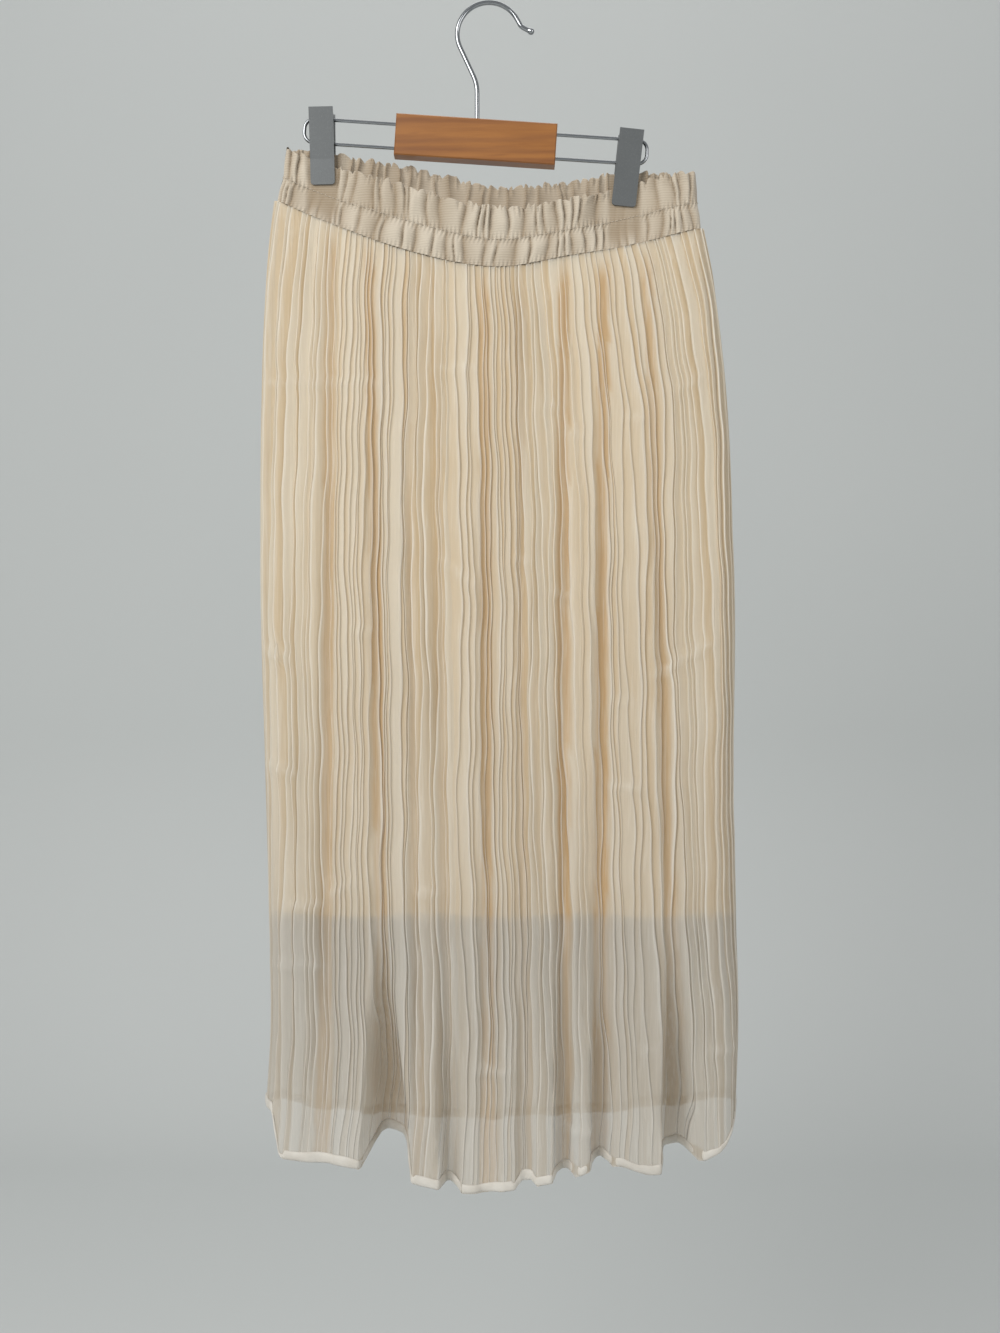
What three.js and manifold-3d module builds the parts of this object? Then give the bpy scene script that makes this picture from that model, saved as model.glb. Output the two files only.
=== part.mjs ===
// A pleated midi skirt with a gathered waistband and a shorter lining, held by the two clips of a hanger
import * as THREE from "three";
import { mergeVertices } from "three/addons/utils/BufferGeometryUtils.js";
import Module from "manifold-3d";

const wasm = await Module();
wasm.setup();

// Driving sizes in millimetres. The origin is where the hook bears, +Z is up and the skirt's front faces -Y.
const GAP = 0.3;
const FRONT = -1;
const BACK = 1;

// Cloth walls, and the number of pleats or gathers across each panel
const PLEATS = 62;
const SKIRT_WALL = 2;
const PLEAT_UNEVENNESS = 0.25;
const PLEAT_SEED = 2;
const GATHERS = 38;
const BAND_WALL = 2.4;
const GATHER_UNEVENNESS = 0.3;
const GATHER_SEED = 5;
const LINING_COLUMNS = 32;
const LINING_WALL = 1;
const LINING_HEM_Z = -685.5;
const SCATTER = { index: 12.9898, seed: 78.233, wave: 43758.5453 };

// The waist lines across the width: the band's top edge and the seam under it, at the front and at the back
const WAIST_LINES = [
  { x: -162, frontTop: -107, frontSeam: -149, backTop: -107, backSeam: -149 },
  { x: -126, frontTop: -121, frontSeam: -165, backTop: -112, backSeam: -156 },
  { x: -60, frontTop: -142, frontSeam: -189, backTop: -122, backSeam: -166 },
  { x: 5, frontTop: -157.5, frontSeam: -201, backTop: -136.5, backSeam: -180 },
  { x: 60, frontTop: -151, frontSeam: -192.5, backTop: -133, backSeam: -177 },
  { x: 103, frontTop: -138.5, frontSeam: -185, backTop: -127.5, backSeam: -172.5 },
  { x: 162, frontTop: -128, frontSeam: -170, backTop: -128, backSeam: -170 },
];

// The hem line across the width
const HEM_LINES = [
  { x: -168, front: -831, back: -832 },
  { x: -152, front: -860, back: -837 },
  { x: -110, front: -864, back: -845 },
  { x: -55, front: -876, back: -850 },
  { x: -15, front: -883, back: -853 },
  { x: 50, front: -875, back: -850 },
  { x: 92, front: -864, back: -847 },
  { x: 120, front: -871, back: -843 },
  { x: 160, front: -861, back: -838 },
  { x: 177, front: -850, back: -833 },
  { x: 188, front: -827, back: -828 },
];

// The skirt from its waist seam to its hem, as shares of the way down: the side edges, how far the front and
// the back stand off the middle, and half the depth of a pleat
const SKIRT_SECTIONS = [
  { down: 0, left: -162.5, right: 162.5, front: 11, back: 8.5, pleat: 0.5 },
  { down: 0.06, left: -167, right: 170, front: 15, back: 12, pleat: 1.4 },
  { down: 0.2, left: -171.5, right: 180, front: 20, back: 17, pleat: 1.6 },
  { down: 0.42, left: -172.5, right: 185, front: 25, back: 22, pleat: 1.6 },
  { down: 0.62, left: -169, right: 184.5, front: 29, back: 26, pleat: 1.6 },
  { down: 0.78, left: -166, right: 186, front: 34, back: 30, pleat: 1.5 },
  { down: 0.9, left: -164.5, right: 188, front: 39, back: 34, pleat: 1.2 },
  { down: 1, left: -168, right: 186, front: 43, back: 38, pleat: 0.9 },
];

// The lining from the same seam to its own hem
const LINING_SECTIONS = [
  { down: 0, left: -158.5, right: 158.5, front: 7.2, back: 5.2 },
  { down: 0.1, left: -161.5, right: 164, front: 8.5, back: 7 },
  { down: 0.4, left: -166, right: 177, front: 10.5, back: 9.5 },
  { down: 0.7, left: -165, right: 179, front: 13, back: 12 },
  { down: 1, left: -162.5, right: 182, front: 16, back: 15 },
];

// The waistband from its seam to its top edge: half the depth of a gather, and how hard the clips press it
const BAND_SECTIONS = [
  { up: 0, left: -160, right: 160, front: 10.4, back: 8, gather: 0.6, grip: 0.1 },
  { up: 0.24, left: -158, right: 159, front: 11.2, back: 8.4, gather: 1.3, grip: 0.88 },
  { up: 0.47, left: -155.5, right: 157.5, front: 10.4, back: 7.6, gather: 0.4, grip: 0.95 },
  { up: 0.75, left: -154.5, right: 157, front: 11.4, back: 8.4, gather: 1.4, grip: 1 },
  { up: 1, left: -153, right: 156, front: 10.8, back: 8, gather: 1.7, grip: 1 },
];

// The largest folds of each panel run into the skirt between groups of pleats: where they lie near the waist
// and at the hem, their half widths and depths, and how far they lift the hem
const FRONT_FOLDS = [
  { top: -118, hem: -122, width: 8, hemWidth: 9, depth: 5, hemDepth: 2, lift: 0 },
  { top: -90, hem: -75, width: 8, hemWidth: 19, depth: 6, hemDepth: 47, lift: 20 },
  { top: -64, hem: -50, width: 7, hemWidth: 7, depth: 3.5, hemDepth: 0, lift: 0 },
  { top: -42, hem: -28, width: 7, hemWidth: 8, depth: 3.5, hemDepth: 16, lift: 3 },
  { top: -4, hem: 0, width: 8, hemWidth: 9, depth: 6, hemDepth: 3, lift: 0 },
  { top: 22, hem: 27, width: 7, hemWidth: 8, depth: 3.5, hemDepth: 8, lift: 4 },
  { top: 56, hem: 55, width: 8, hemWidth: 8, depth: 7, hemDepth: 18, lift: 3 },
  { top: 86, hem: 82, width: 9, hemWidth: 8, depth: 7.5, hemDepth: 20, lift: 3 },
  { top: 118, hem: 141, width: 8, hemWidth: 14, depth: 5, hemDepth: 37, lift: 7 },
];
const BACK_FOLDS = [
  { top: -125, hem: -132, width: 8, hemWidth: 13, depth: 5, hemDepth: 22, lift: 5 },
  { top: -86, hem: -94, width: 7, hemWidth: 8, depth: 4, hemDepth: 9, lift: 0 },
  { top: -38, hem: -46, width: 8, hemWidth: 14, depth: 6, hemDepth: 23, lift: 6 },
  { top: 8, hem: 4, width: 7, hemWidth: 9, depth: 5, hemDepth: 12, lift: 2 },
  { top: 47, hem: 50, width: 7, hemWidth: 8, depth: 4, hemDepth: 5, lift: 0 },
  { top: 92, hem: 98, width: 9, hemWidth: 14, depth: 6, hemDepth: 23, lift: 6 },
  { top: 138, hem: 146, width: 8, hemWidth: 10, depth: 4, hemDepth: 14, lift: 3 },
];
const FOLD_STARTS = 0.04;
const FOLD_FULL = 0.4;
const FOLD_OPENS = 0.74;

// The plan of a hanging panel: rounded ends, and a face a little fuller in the middle
const END_SHARE = 0.75;
const LONGEST_END = 18;
const FACE_FULLNESS = 0.3;
const PLAN_SAMPLES = 480;
const END_SAMPLES = 40;
const FACING_SPAN = 3;

// The hanger hangs a little lower on the right
const HANGER = { x: -10, z: -103.3, tilt: THREE.MathUtils.degToRad(3.75) };
const BLOCK = { width: 121.5, depth: 12, height: 31.2, edge: 0.8 };
const ROD = { radius: 1.3, spacing: 18.2, reach: 129.7, corner: 7.5, inBlock: 11 };
const HOOK = {
  wire: 1.8,
  radius: 24,
  from: THREE.MathUtils.degToRad(205),
  to: THREE.MathUtils.degToRad(30),
  fillet: 7,
  tipRun: 8,
  tipKick: 7.5,
  tipWay: THREE.MathUtils.degToRad(-23),
  ball: 2.5,
  inBlock: 12,
};

// The clips: a front and a back jaw of bent sheet with side cheeks, and the coil between them
const JAW = { width: 18.2, length: 57.2, sheet: 1.25, topOut: 8.6, gripOut: 4.9, bend: 38, corner: 2.5 };
const CHEEK = { sheet: 1.2, inner: 1.9, top: 4, foot: 30, slope: 6 };
const SPRING = { radius: 5.3, length: 12, drop: 15.6 };
const CLIPS = [
  { name: "left", x: -126.3, z: -80.1, tilt: THREE.MathUtils.degToRad(-1.2), gripX: -125.4 },
  { name: "right", x: 107.5, z: -96.6, tilt: THREE.MathUtils.degToRad(6.3), gripX: 102 },
];
const GRIP_FLAT = 11;
const GRIP_FADE = 27;
const GRIPPED_DEPTH = 3;
const GATHERS_PRESSED = 0.88;

// How finely the round pieces are cut, and the distance at which points count as one
const HOOK_STEPS = { bends: 64, steps: 48, sides: 10 };
const ROD_STEPS = { bends: 72, steps: 36, sides: 8 };
const BORE_SIDES = { rod: 12, hook: 16 };
const BALL_STEPS = { around: 12, rings: 8 };
const SPRING_SIDES = 16;
const CORNER_STEPS = 4;
const WELD = 1e-3;

const chiffon = new THREE.MeshStandardMaterial({ color: 0xe6d6ba, roughness: 0.85, metalness: 0 });
const crepe = new THREE.MeshStandardMaterial({ color: 0xcdbda6, roughness: 0.9, metalness: 0 });
const slip = new THREE.MeshStandardMaterial({ color: 0xead9be, roughness: 0.8, metalness: 0 });
const wood = new THREE.MeshStandardMaterial({ color: 0x9e6c41, roughness: 0.4, metalness: 0 });
const chrome = new THREE.MeshStandardMaterial({ color: 0xc8cacb, roughness: 0.2, metalness: 1 });
const paint = new THREE.MeshStandardMaterial({ color: 0x717372, roughness: 0.5, metalness: 0.2 });

const skirt = new THREE.Group();

function smooth(from, to, value) {
  return THREE.MathUtils.smoothstep(value, from, to);
}

function uneven(index, seed) {
  const wave = Math.sin(index * SCATTER.index + seed * SCATTER.seed) * SCATTER.wave;
  return wave - Math.floor(wave);
}

// A smooth line through a table's rows, from its x column and one other
function lineThrough(rows, column) {
  const points = rows.map((row) => new THREE.Vector2(row.x, row[column]));
  return (x) => {
    const last = points.length - 2;
    let i = 0;
    while (i < last && x > points[i + 1].x) {
      i += 1;
    }
    const before = points[Math.max(i - 1, 0)];
    const [from, to] = [points[i], points[i + 1]];
    const after = points[Math.min(i + 2, points.length - 1)];
    const span = to.x - from.x;
    const t = THREE.MathUtils.clamp((x - from.x) / span, 0, 1);
    const leave = ((to.y - before.y) / (to.x - before.x)) * span;
    const arrive = ((after.y - from.y) / (after.x - from.x)) * span;
    const [t2, t3] = [t * t, t * t * t];
    const hermite = (2 * t3 - 3 * t2 + 1) * from.y + (3 * t2 - 2 * t3) * to.y;
    return hermite + (t3 - 2 * t2 + t) * leave + (t3 - t2) * arrive;
  };
}

const LINES = {
  [FRONT]: {
    top: lineThrough(WAIST_LINES, "frontTop"),
    seam: lineThrough(WAIST_LINES, "frontSeam"),
    hem: lineThrough(HEM_LINES, "front"),
    folds: FRONT_FOLDS,
  },
  [BACK]: {
    top: lineThrough(WAIST_LINES, "backTop"),
    seam: lineThrough(WAIST_LINES, "backSeam"),
    hem: lineThrough(HEM_LINES, "back"),
    folds: BACK_FOLDS,
  },
};

// How hard the nearer clip presses the cloth at x, from 0 to 1
function gripAt(x) {
  const nearest = Math.min(...CLIPS.map((clip) => Math.abs(x - clip.gripX)));
  return 1 - smooth(GRIP_FLAT, GRIP_FLAT + GRIP_FADE, nearest);
}

// A fold's place and share of its full depth at x, as far down the panel as given
function foldReach(fold, x, down) {
  const opening = smooth(FOLD_OPENS, 1, down);
  const centre = THREE.MathUtils.lerp(fold.top, fold.hem, down);
  const width = THREE.MathUtils.lerp(fold.width, fold.hemWidth, opening);
  const away = Math.min(Math.abs(x - centre) / width, 1);
  const depth = THREE.MathUtils.lerp(fold.depth, fold.hemDepth, opening);
  const share = (1 - away ** (2 + 2 * opening)) ** 2;
  return { depth: depth * share * smooth(FOLD_STARTS, FOLD_FULL, down), lift: fold.lift * share * opening };
}

// One side of a panel's plan at one height: points at even steps along the cloth, each with the way out of
// the panel and the way through its folded wall
function planOf(side, section, columns, folds, down) {
  const middle = (section.left + section.right) / 2;
  const half = (section.right - section.left) / 2;
  const depth = side === FRONT ? section.front : section.back;
  const end = Math.min(END_SHARE * depth, LONGEST_END);
  const samples = [];
  for (let i = 0; i <= PLAN_SAMPLES; i += 1) {
    const fromLeft = Math.min(i, PLAN_SAMPLES - i);
    const face = (fromLeft - END_SAMPLES) / (PLAN_SAMPLES / 2 - END_SAMPLES);
    const turn = (Math.PI / 2) * Math.min(fromLeft / END_SAMPLES, 1);
    const inward = fromLeft < END_SAMPLES ? end * (1 - Math.cos(turn)) : end + (half - end) * face;
    const x = middle + (i * 2 < PLAN_SAMPLES ? -1 : 1) * (half - inward);
    const across = (x - middle) / half;
    const open = depth * (1 - FACE_FULLNESS * across * across) * Math.sin(turn);
    const grip = gripAt(x) * (section.grip ?? 0);
    const y = THREE.MathUtils.lerp(open, Math.min(open, GRIPPED_DEPTH), grip);
    samples.push({ x, y: side * (y + GAP / 2), grip });
  }
  samples.forEach((sample, i) => {
    const before = samples[Math.max(i - 1, 0)];
    const after = samples[Math.min(i + 1, PLAN_SAMPLES)];
    const along = new THREE.Vector2(after.x - before.x, after.y - before.y).normalize();
    const atEnd = i === 0 || i === PLAN_SAMPLES;
    const sideways = new THREE.Vector2(i === 0 ? -1 : 1, 0);
    sample.out = atEnd ? sideways : new THREE.Vector2(-along.y, along.x).multiplyScalar(side);
  });
  const folded = samples.map((sample) => {
    const reaches = folds.map((fold) => foldReach(fold, sample.x, down));
    const inward = reaches.reduce((sum, reach) => sum + reach.depth, 0);
    const lift = reaches.reduce((sum, reach) => sum + reach.lift, 0);
    const at = new THREE.Vector2(sample.x, sample.y).addScaledVector(sample.out, -inward);
    return { at, out: sample.out, grip: sample.grip, lift };
  });
  folded.forEach((point, i) => {
    const before = folded[Math.max(i - FACING_SPAN, 0)];
    const after = folded[Math.min(i + FACING_SPAN, PLAN_SAMPLES)];
    const along = after.at.clone().sub(before.at).normalize();
    const facing = new THREE.Vector2(-along.y, along.x).multiplyScalar(side);
    const atEnd = i < FACING_SPAN || i > PLAN_SAMPLES - FACING_SPAN;
    point.through = atEnd ? point.out.clone() : facing.add(point.out).normalize();
  });
  const run = [0];
  for (let i = 1; i <= PLAN_SAMPLES; i += 1) {
    run.push(run[i - 1] + folded[i].at.distanceTo(folded[i - 1].at));
  }
  const points = [];
  let i = 0;
  for (let column = 0; column <= columns; column += 1) {
    const wanted = (run[PLAN_SAMPLES] * column) / columns;
    while (i < PLAN_SAMPLES - 1 && run[i + 1] < wanted) {
      i += 1;
    }
    const t = THREE.MathUtils.clamp((wanted - run[i]) / (run[i + 1] - run[i]), 0, 1);
    const [a, b] = [folded[i], folded[i + 1]];
    points.push({
      at: a.at.clone().lerp(b.at, t),
      out: a.out.clone().lerp(b.out, t).normalize(),
      grip: THREE.MathUtils.lerp(a.grip, b.grip, t),
      lift: THREE.MathUtils.lerp(a.lift, b.lift, t),
      through: a.through.clone().lerp(b.through, t).normalize(),
    });
  }
  return points;
}

// A closed wall between an outer and an inner skin, each a list of rows from top to bottom
function wallBetween(side, outer, inner) {
  const rows = outer.length;
  const columns = outer[0].length;
  const positions = [...outer.flat(), ...inner.flat()].flatMap((p) => [p.x, p.y, p.z]);
  const skin = rows * columns;
  const triangles = [];
  const quad = (a, b, c, d) => {
    const loop = side === FRONT ? [a, b, c, a, c, d] : [a, c, b, a, d, c];
    triangles.push(...loop);
  };
  for (let r = 0; r + 1 < rows; r += 1) {
    for (let c = 0; c + 1 < columns; c += 1) {
      const at = r * columns + c;
      quad(at, at + columns, at + columns + 1, at + 1);
      quad(skin + at, skin + at + 1, skin + at + columns + 1, skin + at + columns);
    }
    const first = r * columns;
    const last = first + columns - 1;
    quad(first, skin + first, skin + first + columns, first + columns);
    quad(last, last + columns, skin + last + columns, skin + last);
  }
  for (let c = 0; c + 1 < columns; c += 1) {
    const foot = (rows - 1) * columns + c;
    quad(c, c + 1, skin + c + 1, skin + c);
    quad(foot, skin + foot, skin + foot + 1, foot + 1);
  }
  const geometry = new THREE.BufferGeometry();
  geometry.setAttribute("position", new THREE.Float32BufferAttribute(positions, 3));
  geometry.setIndex(triangles);
  geometry.computeVertexNormals();
  return geometry;
}

function addMesh(name, geometry, material, group = skirt) {
  const mesh = new THREE.Mesh(geometry, material);
  mesh.name = name;
  group.add(mesh);
  return mesh;
}

// Zigzag of ridges and valleys: even columns stand out and odd ones go in, each pleat with its own depth
function zigzag(column, depth, unevenness, seed) {
  const own = 1 + unevenness * (2 * uneven(Math.floor(column / 2), seed) - 1);
  return (column % 2 === 0 ? 1 : -1) * depth * own;
}

function skirtPanel(side) {
  const { seam, hem, folds } = LINES[side];
  const outer = [];
  const inner = [];
  SKIRT_SECTIONS.forEach((section) => {
    const plan = planOf(side, section, PLEATS * 2, folds, section.down);
    const place = (xy, lift) => {
      const z = THREE.MathUtils.lerp(seam(xy.x), hem(xy.x), section.down) + lift;
      return new THREE.Vector3(xy.x, xy.y, z);
    };
    const skins = plan.map((point, column) => {
      const pleat = zigzag(column, section.pleat, PLEAT_UNEVENNESS, side + PLEAT_SEED);
      const outside = point.at.clone().addScaledVector(point.out, pleat);
      const inside = outside.clone().addScaledVector(point.through, -SKIRT_WALL);
      return [place(outside, point.lift), place(inside, point.lift)];
    });
    outer.push(skins.map((skin) => skin[0]));
    inner.push(skins.map((skin) => skin[1]));
  });
  return wallBetween(side, outer, inner);
}

function liningPanel(side) {
  const { seam } = LINES[side];
  const outer = [];
  const inner = [];
  LINING_SECTIONS.forEach((section) => {
    const plan = planOf(side, section, LINING_COLUMNS, [], section.down);
    const place = (xy) => {
      const z = THREE.MathUtils.lerp(seam(xy.x), LINING_HEM_Z, section.down);
      return new THREE.Vector3(xy.x, xy.y, z);
    };
    outer.push(plan.map((point) => place(point.at)));
    inner.push(plan.map((point) => place(point.at.clone().addScaledVector(point.out, -LINING_WALL))));
  });
  return wallBetween(side, outer, inner);
}

function waistbandPanel(side) {
  const { seam, top } = LINES[side];
  const outer = [];
  const inner = [];
  [...BAND_SECTIONS].reverse().forEach((section) => {
    const plan = planOf(side, section, GATHERS * 2, [], 0);
    const place = (xy) => {
      const z = THREE.MathUtils.lerp(seam(xy.x) + GAP, top(xy.x), section.up);
      return new THREE.Vector3(xy.x, xy.y, z);
    };
    const skins = plan.map((point, column) => {
      const pressed = 1 - GATHERS_PRESSED * gripAt(point.at.x) * section.grip;
      const gather = zigzag(column, section.gather, GATHER_UNEVENNESS, side + GATHER_SEED) * pressed;
      const outside = point.at.clone().addScaledVector(point.out, gather);
      const inside = outside.clone().addScaledVector(point.out, -BAND_WALL);
      return [place(outside), place(inside)];
    });
    outer.push(skins.map((skin) => skin[0]));
    inner.push(skins.map((skin) => skin[1]));
  });
  return wallBetween(side, outer, inner);
}

for (const [name, side] of [["front", FRONT], ["back", BACK]]) {
  addMesh(`skirt_${name}`, skirtPanel(side), chiffon);
  addMesh(`lining_${name}`, liningPanel(side), slip);
  addMesh(`waistband_${name}`, waistbandPanel(side), crepe);
}

// Booleans on closed geometries, each placed by a matrix
function solidOf(geometry, matrix = new THREE.Matrix4()) {
  const placed = geometry.clone().applyMatrix4(matrix);
  placed.deleteAttribute("normal");
  placed.deleteAttribute("uv");
  const merged = mergeVertices(placed, WELD);
  return new wasm.Manifold(
    new wasm.Mesh({
      numProp: 3,
      vertProperties: new Float32Array(merged.attributes.position.array),
      triVerts: new Uint32Array(merged.index.array),
    }),
  );
}

function geometryOf(solid) {
  const mesh = solid.getMesh();
  const geometry = new THREE.BufferGeometry();
  geometry.setAttribute("position", new THREE.Float32BufferAttribute(mesh.vertProperties, 3));
  geometry.setIndex(Array.from(mesh.triVerts));
  geometry.computeVertexNormals();
  return geometry;
}

// Round wire along a flat path drawn in x and z
function wireAlong(path, radius, { bends, steps, sides }) {
  const points = path.getSpacedPoints(bends).map((p) => new THREE.Vector3(p.x, 0, p.y));
  const section = new THREE.Shape().absarc(0, 0, radius, 0, Math.PI * 2);
  return new THREE.ExtrudeGeometry(section, {
    steps,
    curveSegments: sides / 2,
    bevelEnabled: false,
    extrudePath: new THREE.CatmullRomCurve3(points, false, "centripetal"),
  });
}

function rodBore(x, z) {
  const radius = ROD.radius + GAP;
  const length = 2 * (ROD.inBlock + 2 * GAP);
  const turn = new THREE.Matrix4().makeRotationZ(Math.PI / 2);
  const place = new THREE.Matrix4().makeTranslation(x, 0, z);
  return solidOf(new THREE.CylinderGeometry(radius, radius, length, BORE_SIDES.rod), place.multiply(turn));
}

function hookBore() {
  const radius = HOOK.wire + GAP;
  const length = 2 * (HOOK.inBlock + 2 * GAP);
  const upright = new THREE.Matrix4().makeRotationX(Math.PI / 2);
  const plumb = new THREE.Matrix4().makeRotationY(-HANGER.tilt);
  const place = new THREE.Matrix4().makeTranslation(0, 0, BLOCK.height / 2);
  const bore = new THREE.CylinderGeometry(radius, radius, length, BORE_SIDES.hook);
  return solidOf(bore, place.multiply(plumb).multiply(upright));
}

function hangerBlock() {
  const { width, depth, height, edge } = BLOCK;
  const outline = new THREE.Shape();
  outline.moveTo(-width / 2 + edge, -height / 2 + edge);
  outline.lineTo(width / 2 - edge, -height / 2 + edge);
  outline.lineTo(width / 2 - edge, height / 2 - edge);
  outline.lineTo(-width / 2 + edge, height / 2 - edge);
  const rounded = new THREE.ExtrudeGeometry(outline, {
    depth: depth - 2 * edge,
    bevelThickness: edge,
    bevelSize: edge,
    bevelSegments: 1,
  });
  rounded.translate(0, 0, edge - depth / 2);
  let block = solidOf(rounded, new THREE.Matrix4().makeRotationX(Math.PI / 2));
  for (const across of [-1, 1]) {
    for (const up of [-1, 1]) {
      block = block.subtract(rodBore((across * width) / 2, (up * ROD.spacing) / 2));
    }
  }
  return geometryOf(block.subtract(hookBore()));
}

function hangerHook() {
  const { wire, radius, from, to, tipRun, tipKick, tipWay, fillet } = HOOK;
  const centreZ = wire - radius;
  const start = new THREE.Vector2(Math.cos(from), Math.sin(from)).multiplyScalar(radius);
  const shankX = HANGER.x + (Math.sin(HANGER.tilt) * BLOCK.height) / 2;
  const blockTop = HANGER.z + (Math.cos(HANGER.tilt) * BLOCK.height) / 2;
  const bendZ = centreZ + start.y - (shankX - start.x) / Math.tan(from);
  const leaning = new THREE.Vector2(shankX - start.x, bendZ - centreZ - start.y).normalize();
  const end = new THREE.Vector2(Math.cos(to), Math.sin(to)).multiplyScalar(radius);
  const run = new THREE.Vector2(Math.sin(to), -Math.cos(to)).multiplyScalar(tipRun);
  const knee = new THREE.Vector2(end.x + run.x, centreZ + end.y + run.y);
  const tip = knee.clone().addScaledVector(new THREE.Vector2(Math.cos(tipWay), Math.sin(tipWay)), tipKick);
  const path = new THREE.Path();
  path.moveTo(shankX, blockTop - HOOK.inBlock);
  path.lineTo(shankX, bendZ - fillet);
  path.quadraticCurveTo(shankX, bendZ, shankX - leaning.x * fillet, bendZ - leaning.y * fillet);
  path.lineTo(start.x, centreZ + start.y);
  path.absarc(0, centreZ, radius, from, to, true);
  path.lineTo(knee.x - run.x / 4, knee.y - run.y / 4);
  path.quadraticCurveTo(knee.x, knee.y, tip.x, tip.y);
  const ball = new THREE.SphereGeometry(HOOK.ball, BALL_STEPS.around, BALL_STEPS.rings);
  ball.translate(tip.x, 0, tip.y);
  return geometryOf(solidOf(wireAlong(path, wire, HOOK_STEPS)).add(solidOf(ball)));
}

function hangerRod(side) {
  const { spacing, reach, corner, inBlock } = ROD;
  const start = BLOCK.width / 2 - inBlock;
  const half = spacing / 2;
  const path = new THREE.Path();
  path.moveTo(start, half);
  path.lineTo(reach - corner, half);
  path.absarc(reach - corner, half - corner, corner, Math.PI / 2, 0, true);
  path.lineTo(reach, corner - half);
  path.absarc(reach - corner, corner - half, corner, 0, -Math.PI / 2, true);
  path.lineTo(start, -half);
  const rod = wireAlong(path, ROD.radius, ROD_STEPS);
  return side < 0 ? rod.rotateY(Math.PI) : rod;
}

const hanger = new THREE.Group();
hanger.position.set(HANGER.x, 0, HANGER.z);
hanger.rotation.y = HANGER.tilt;
skirt.add(hanger);
addMesh("hanger_block", hangerBlock(), wood, hanger);
addMesh("hanger_rod_left", hangerRod(-1), chrome, hanger);
addMesh("hanger_rod_right", hangerRod(1), chrome, hanger);
addMesh("hanger_hook", hangerHook(), chrome);

// An outline drawn in distance out from the middle and height, stretched across the clip's width
function acrossClip(side, points, width, x) {
  const outline = new THREE.Shape(points.map(([out, z]) => new THREE.Vector2(out, z)));
  const stretched = new THREE.ExtrudeGeometry(outline, { depth: width, bevelEnabled: false });
  stretched.translate(0, 0, -width / 2);
  const basis = new THREE.Matrix4().makeBasis(
    new THREE.Vector3(0, side, 0),
    new THREE.Vector3(0, 0, 1),
    new THREE.Vector3(side, 0, 0),
  );
  return solidOf(stretched, new THREE.Matrix4().makeTranslation(x, 0, 0).multiply(basis));
}

function clipJaw(side) {
  const { width, length, sheet, topOut, gripOut, bend, corner } = JAW;
  const sheetLine = [
    [topOut, 0],
    [topOut - sheet, 0],
    [gripOut - sheet, -bend],
    [gripOut - sheet, -length],
    [gripOut, -length],
    [gripOut, -bend],
  ];
  const outline = new THREE.Shape();
  const right = width / 2;
  outline.moveTo(-right + corner, -length);
  outline.lineTo(right - corner, -length);
  outline.absarc(right - corner, corner - length, corner, -Math.PI / 2, 0);
  outline.lineTo(right, 0);
  outline.lineTo(-right, 0);
  outline.absarc(corner - right, corner - length, corner, Math.PI, Math.PI * 1.5);
  const face = new THREE.ExtrudeGeometry(outline, {
    depth: 4 * topOut,
    bevelEnabled: false,
    curveSegments: CORNER_STEPS,
  });
  face.translate(0, 0, -2 * topOut);
  const rounded = solidOf(face, new THREE.Matrix4().makeRotationX(Math.PI / 2));
  let jaw = acrossClip(side, sheetLine, 2 * width, 0).intersect(rounded);
  const sheetAt = (z) => THREE.MathUtils.lerp(topOut, gripOut, z / bend) - sheet / 2;
  const cheekLine = [
    [CHEEK.inner, -CHEEK.top],
    [CHEEK.inner, CHEEK.slope - CHEEK.foot],
    [sheetAt(CHEEK.foot), -CHEEK.foot],
    [sheetAt(CHEEK.top), -CHEEK.top],
  ];
  for (const across of [-1, 1]) {
    const x = (across * (width - CHEEK.sheet)) / 2;
    jaw = jaw.add(acrossClip(side, cheekLine, CHEEK.sheet, x));
  }
  return geometryOf(jaw);
}

for (const { name, x, z, tilt } of CLIPS) {
  const clip = new THREE.Group();
  clip.position.set(x, 0, z);
  clip.rotation.y = tilt;
  skirt.add(clip);
  addMesh(`clip_${name}_front`, clipJaw(FRONT), paint, clip);
  addMesh(`clip_${name}_back`, clipJaw(BACK), paint, clip);
  const coil = new THREE.CylinderGeometry(SPRING.radius, SPRING.radius, SPRING.length, SPRING_SIDES);
  const spring = addMesh(`clip_${name}_spring`, coil, chrome, clip);
  spring.position.z = -SPRING.drop;
  spring.rotation.z = Math.PI / 2;
}

export default skirt;
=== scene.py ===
import math

import bpy
import numpy as np
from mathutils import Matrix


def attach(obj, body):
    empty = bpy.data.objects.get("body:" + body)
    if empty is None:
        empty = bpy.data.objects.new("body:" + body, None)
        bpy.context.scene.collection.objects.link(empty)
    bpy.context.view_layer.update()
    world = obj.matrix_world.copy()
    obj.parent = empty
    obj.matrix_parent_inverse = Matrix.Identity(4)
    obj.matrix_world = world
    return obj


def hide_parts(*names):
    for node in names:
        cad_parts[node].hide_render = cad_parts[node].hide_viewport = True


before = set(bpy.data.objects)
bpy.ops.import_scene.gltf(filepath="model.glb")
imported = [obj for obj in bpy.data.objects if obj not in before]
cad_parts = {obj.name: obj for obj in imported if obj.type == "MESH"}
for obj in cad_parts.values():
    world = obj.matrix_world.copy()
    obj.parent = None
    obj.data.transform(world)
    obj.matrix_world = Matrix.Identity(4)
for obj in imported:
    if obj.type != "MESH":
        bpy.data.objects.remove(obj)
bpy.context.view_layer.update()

# Sizes are in millimetres in the solids' frame: the hook bears at the origin and the front faces -Y
MM = 0.001
FRONT = -1
BACK = 1

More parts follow.
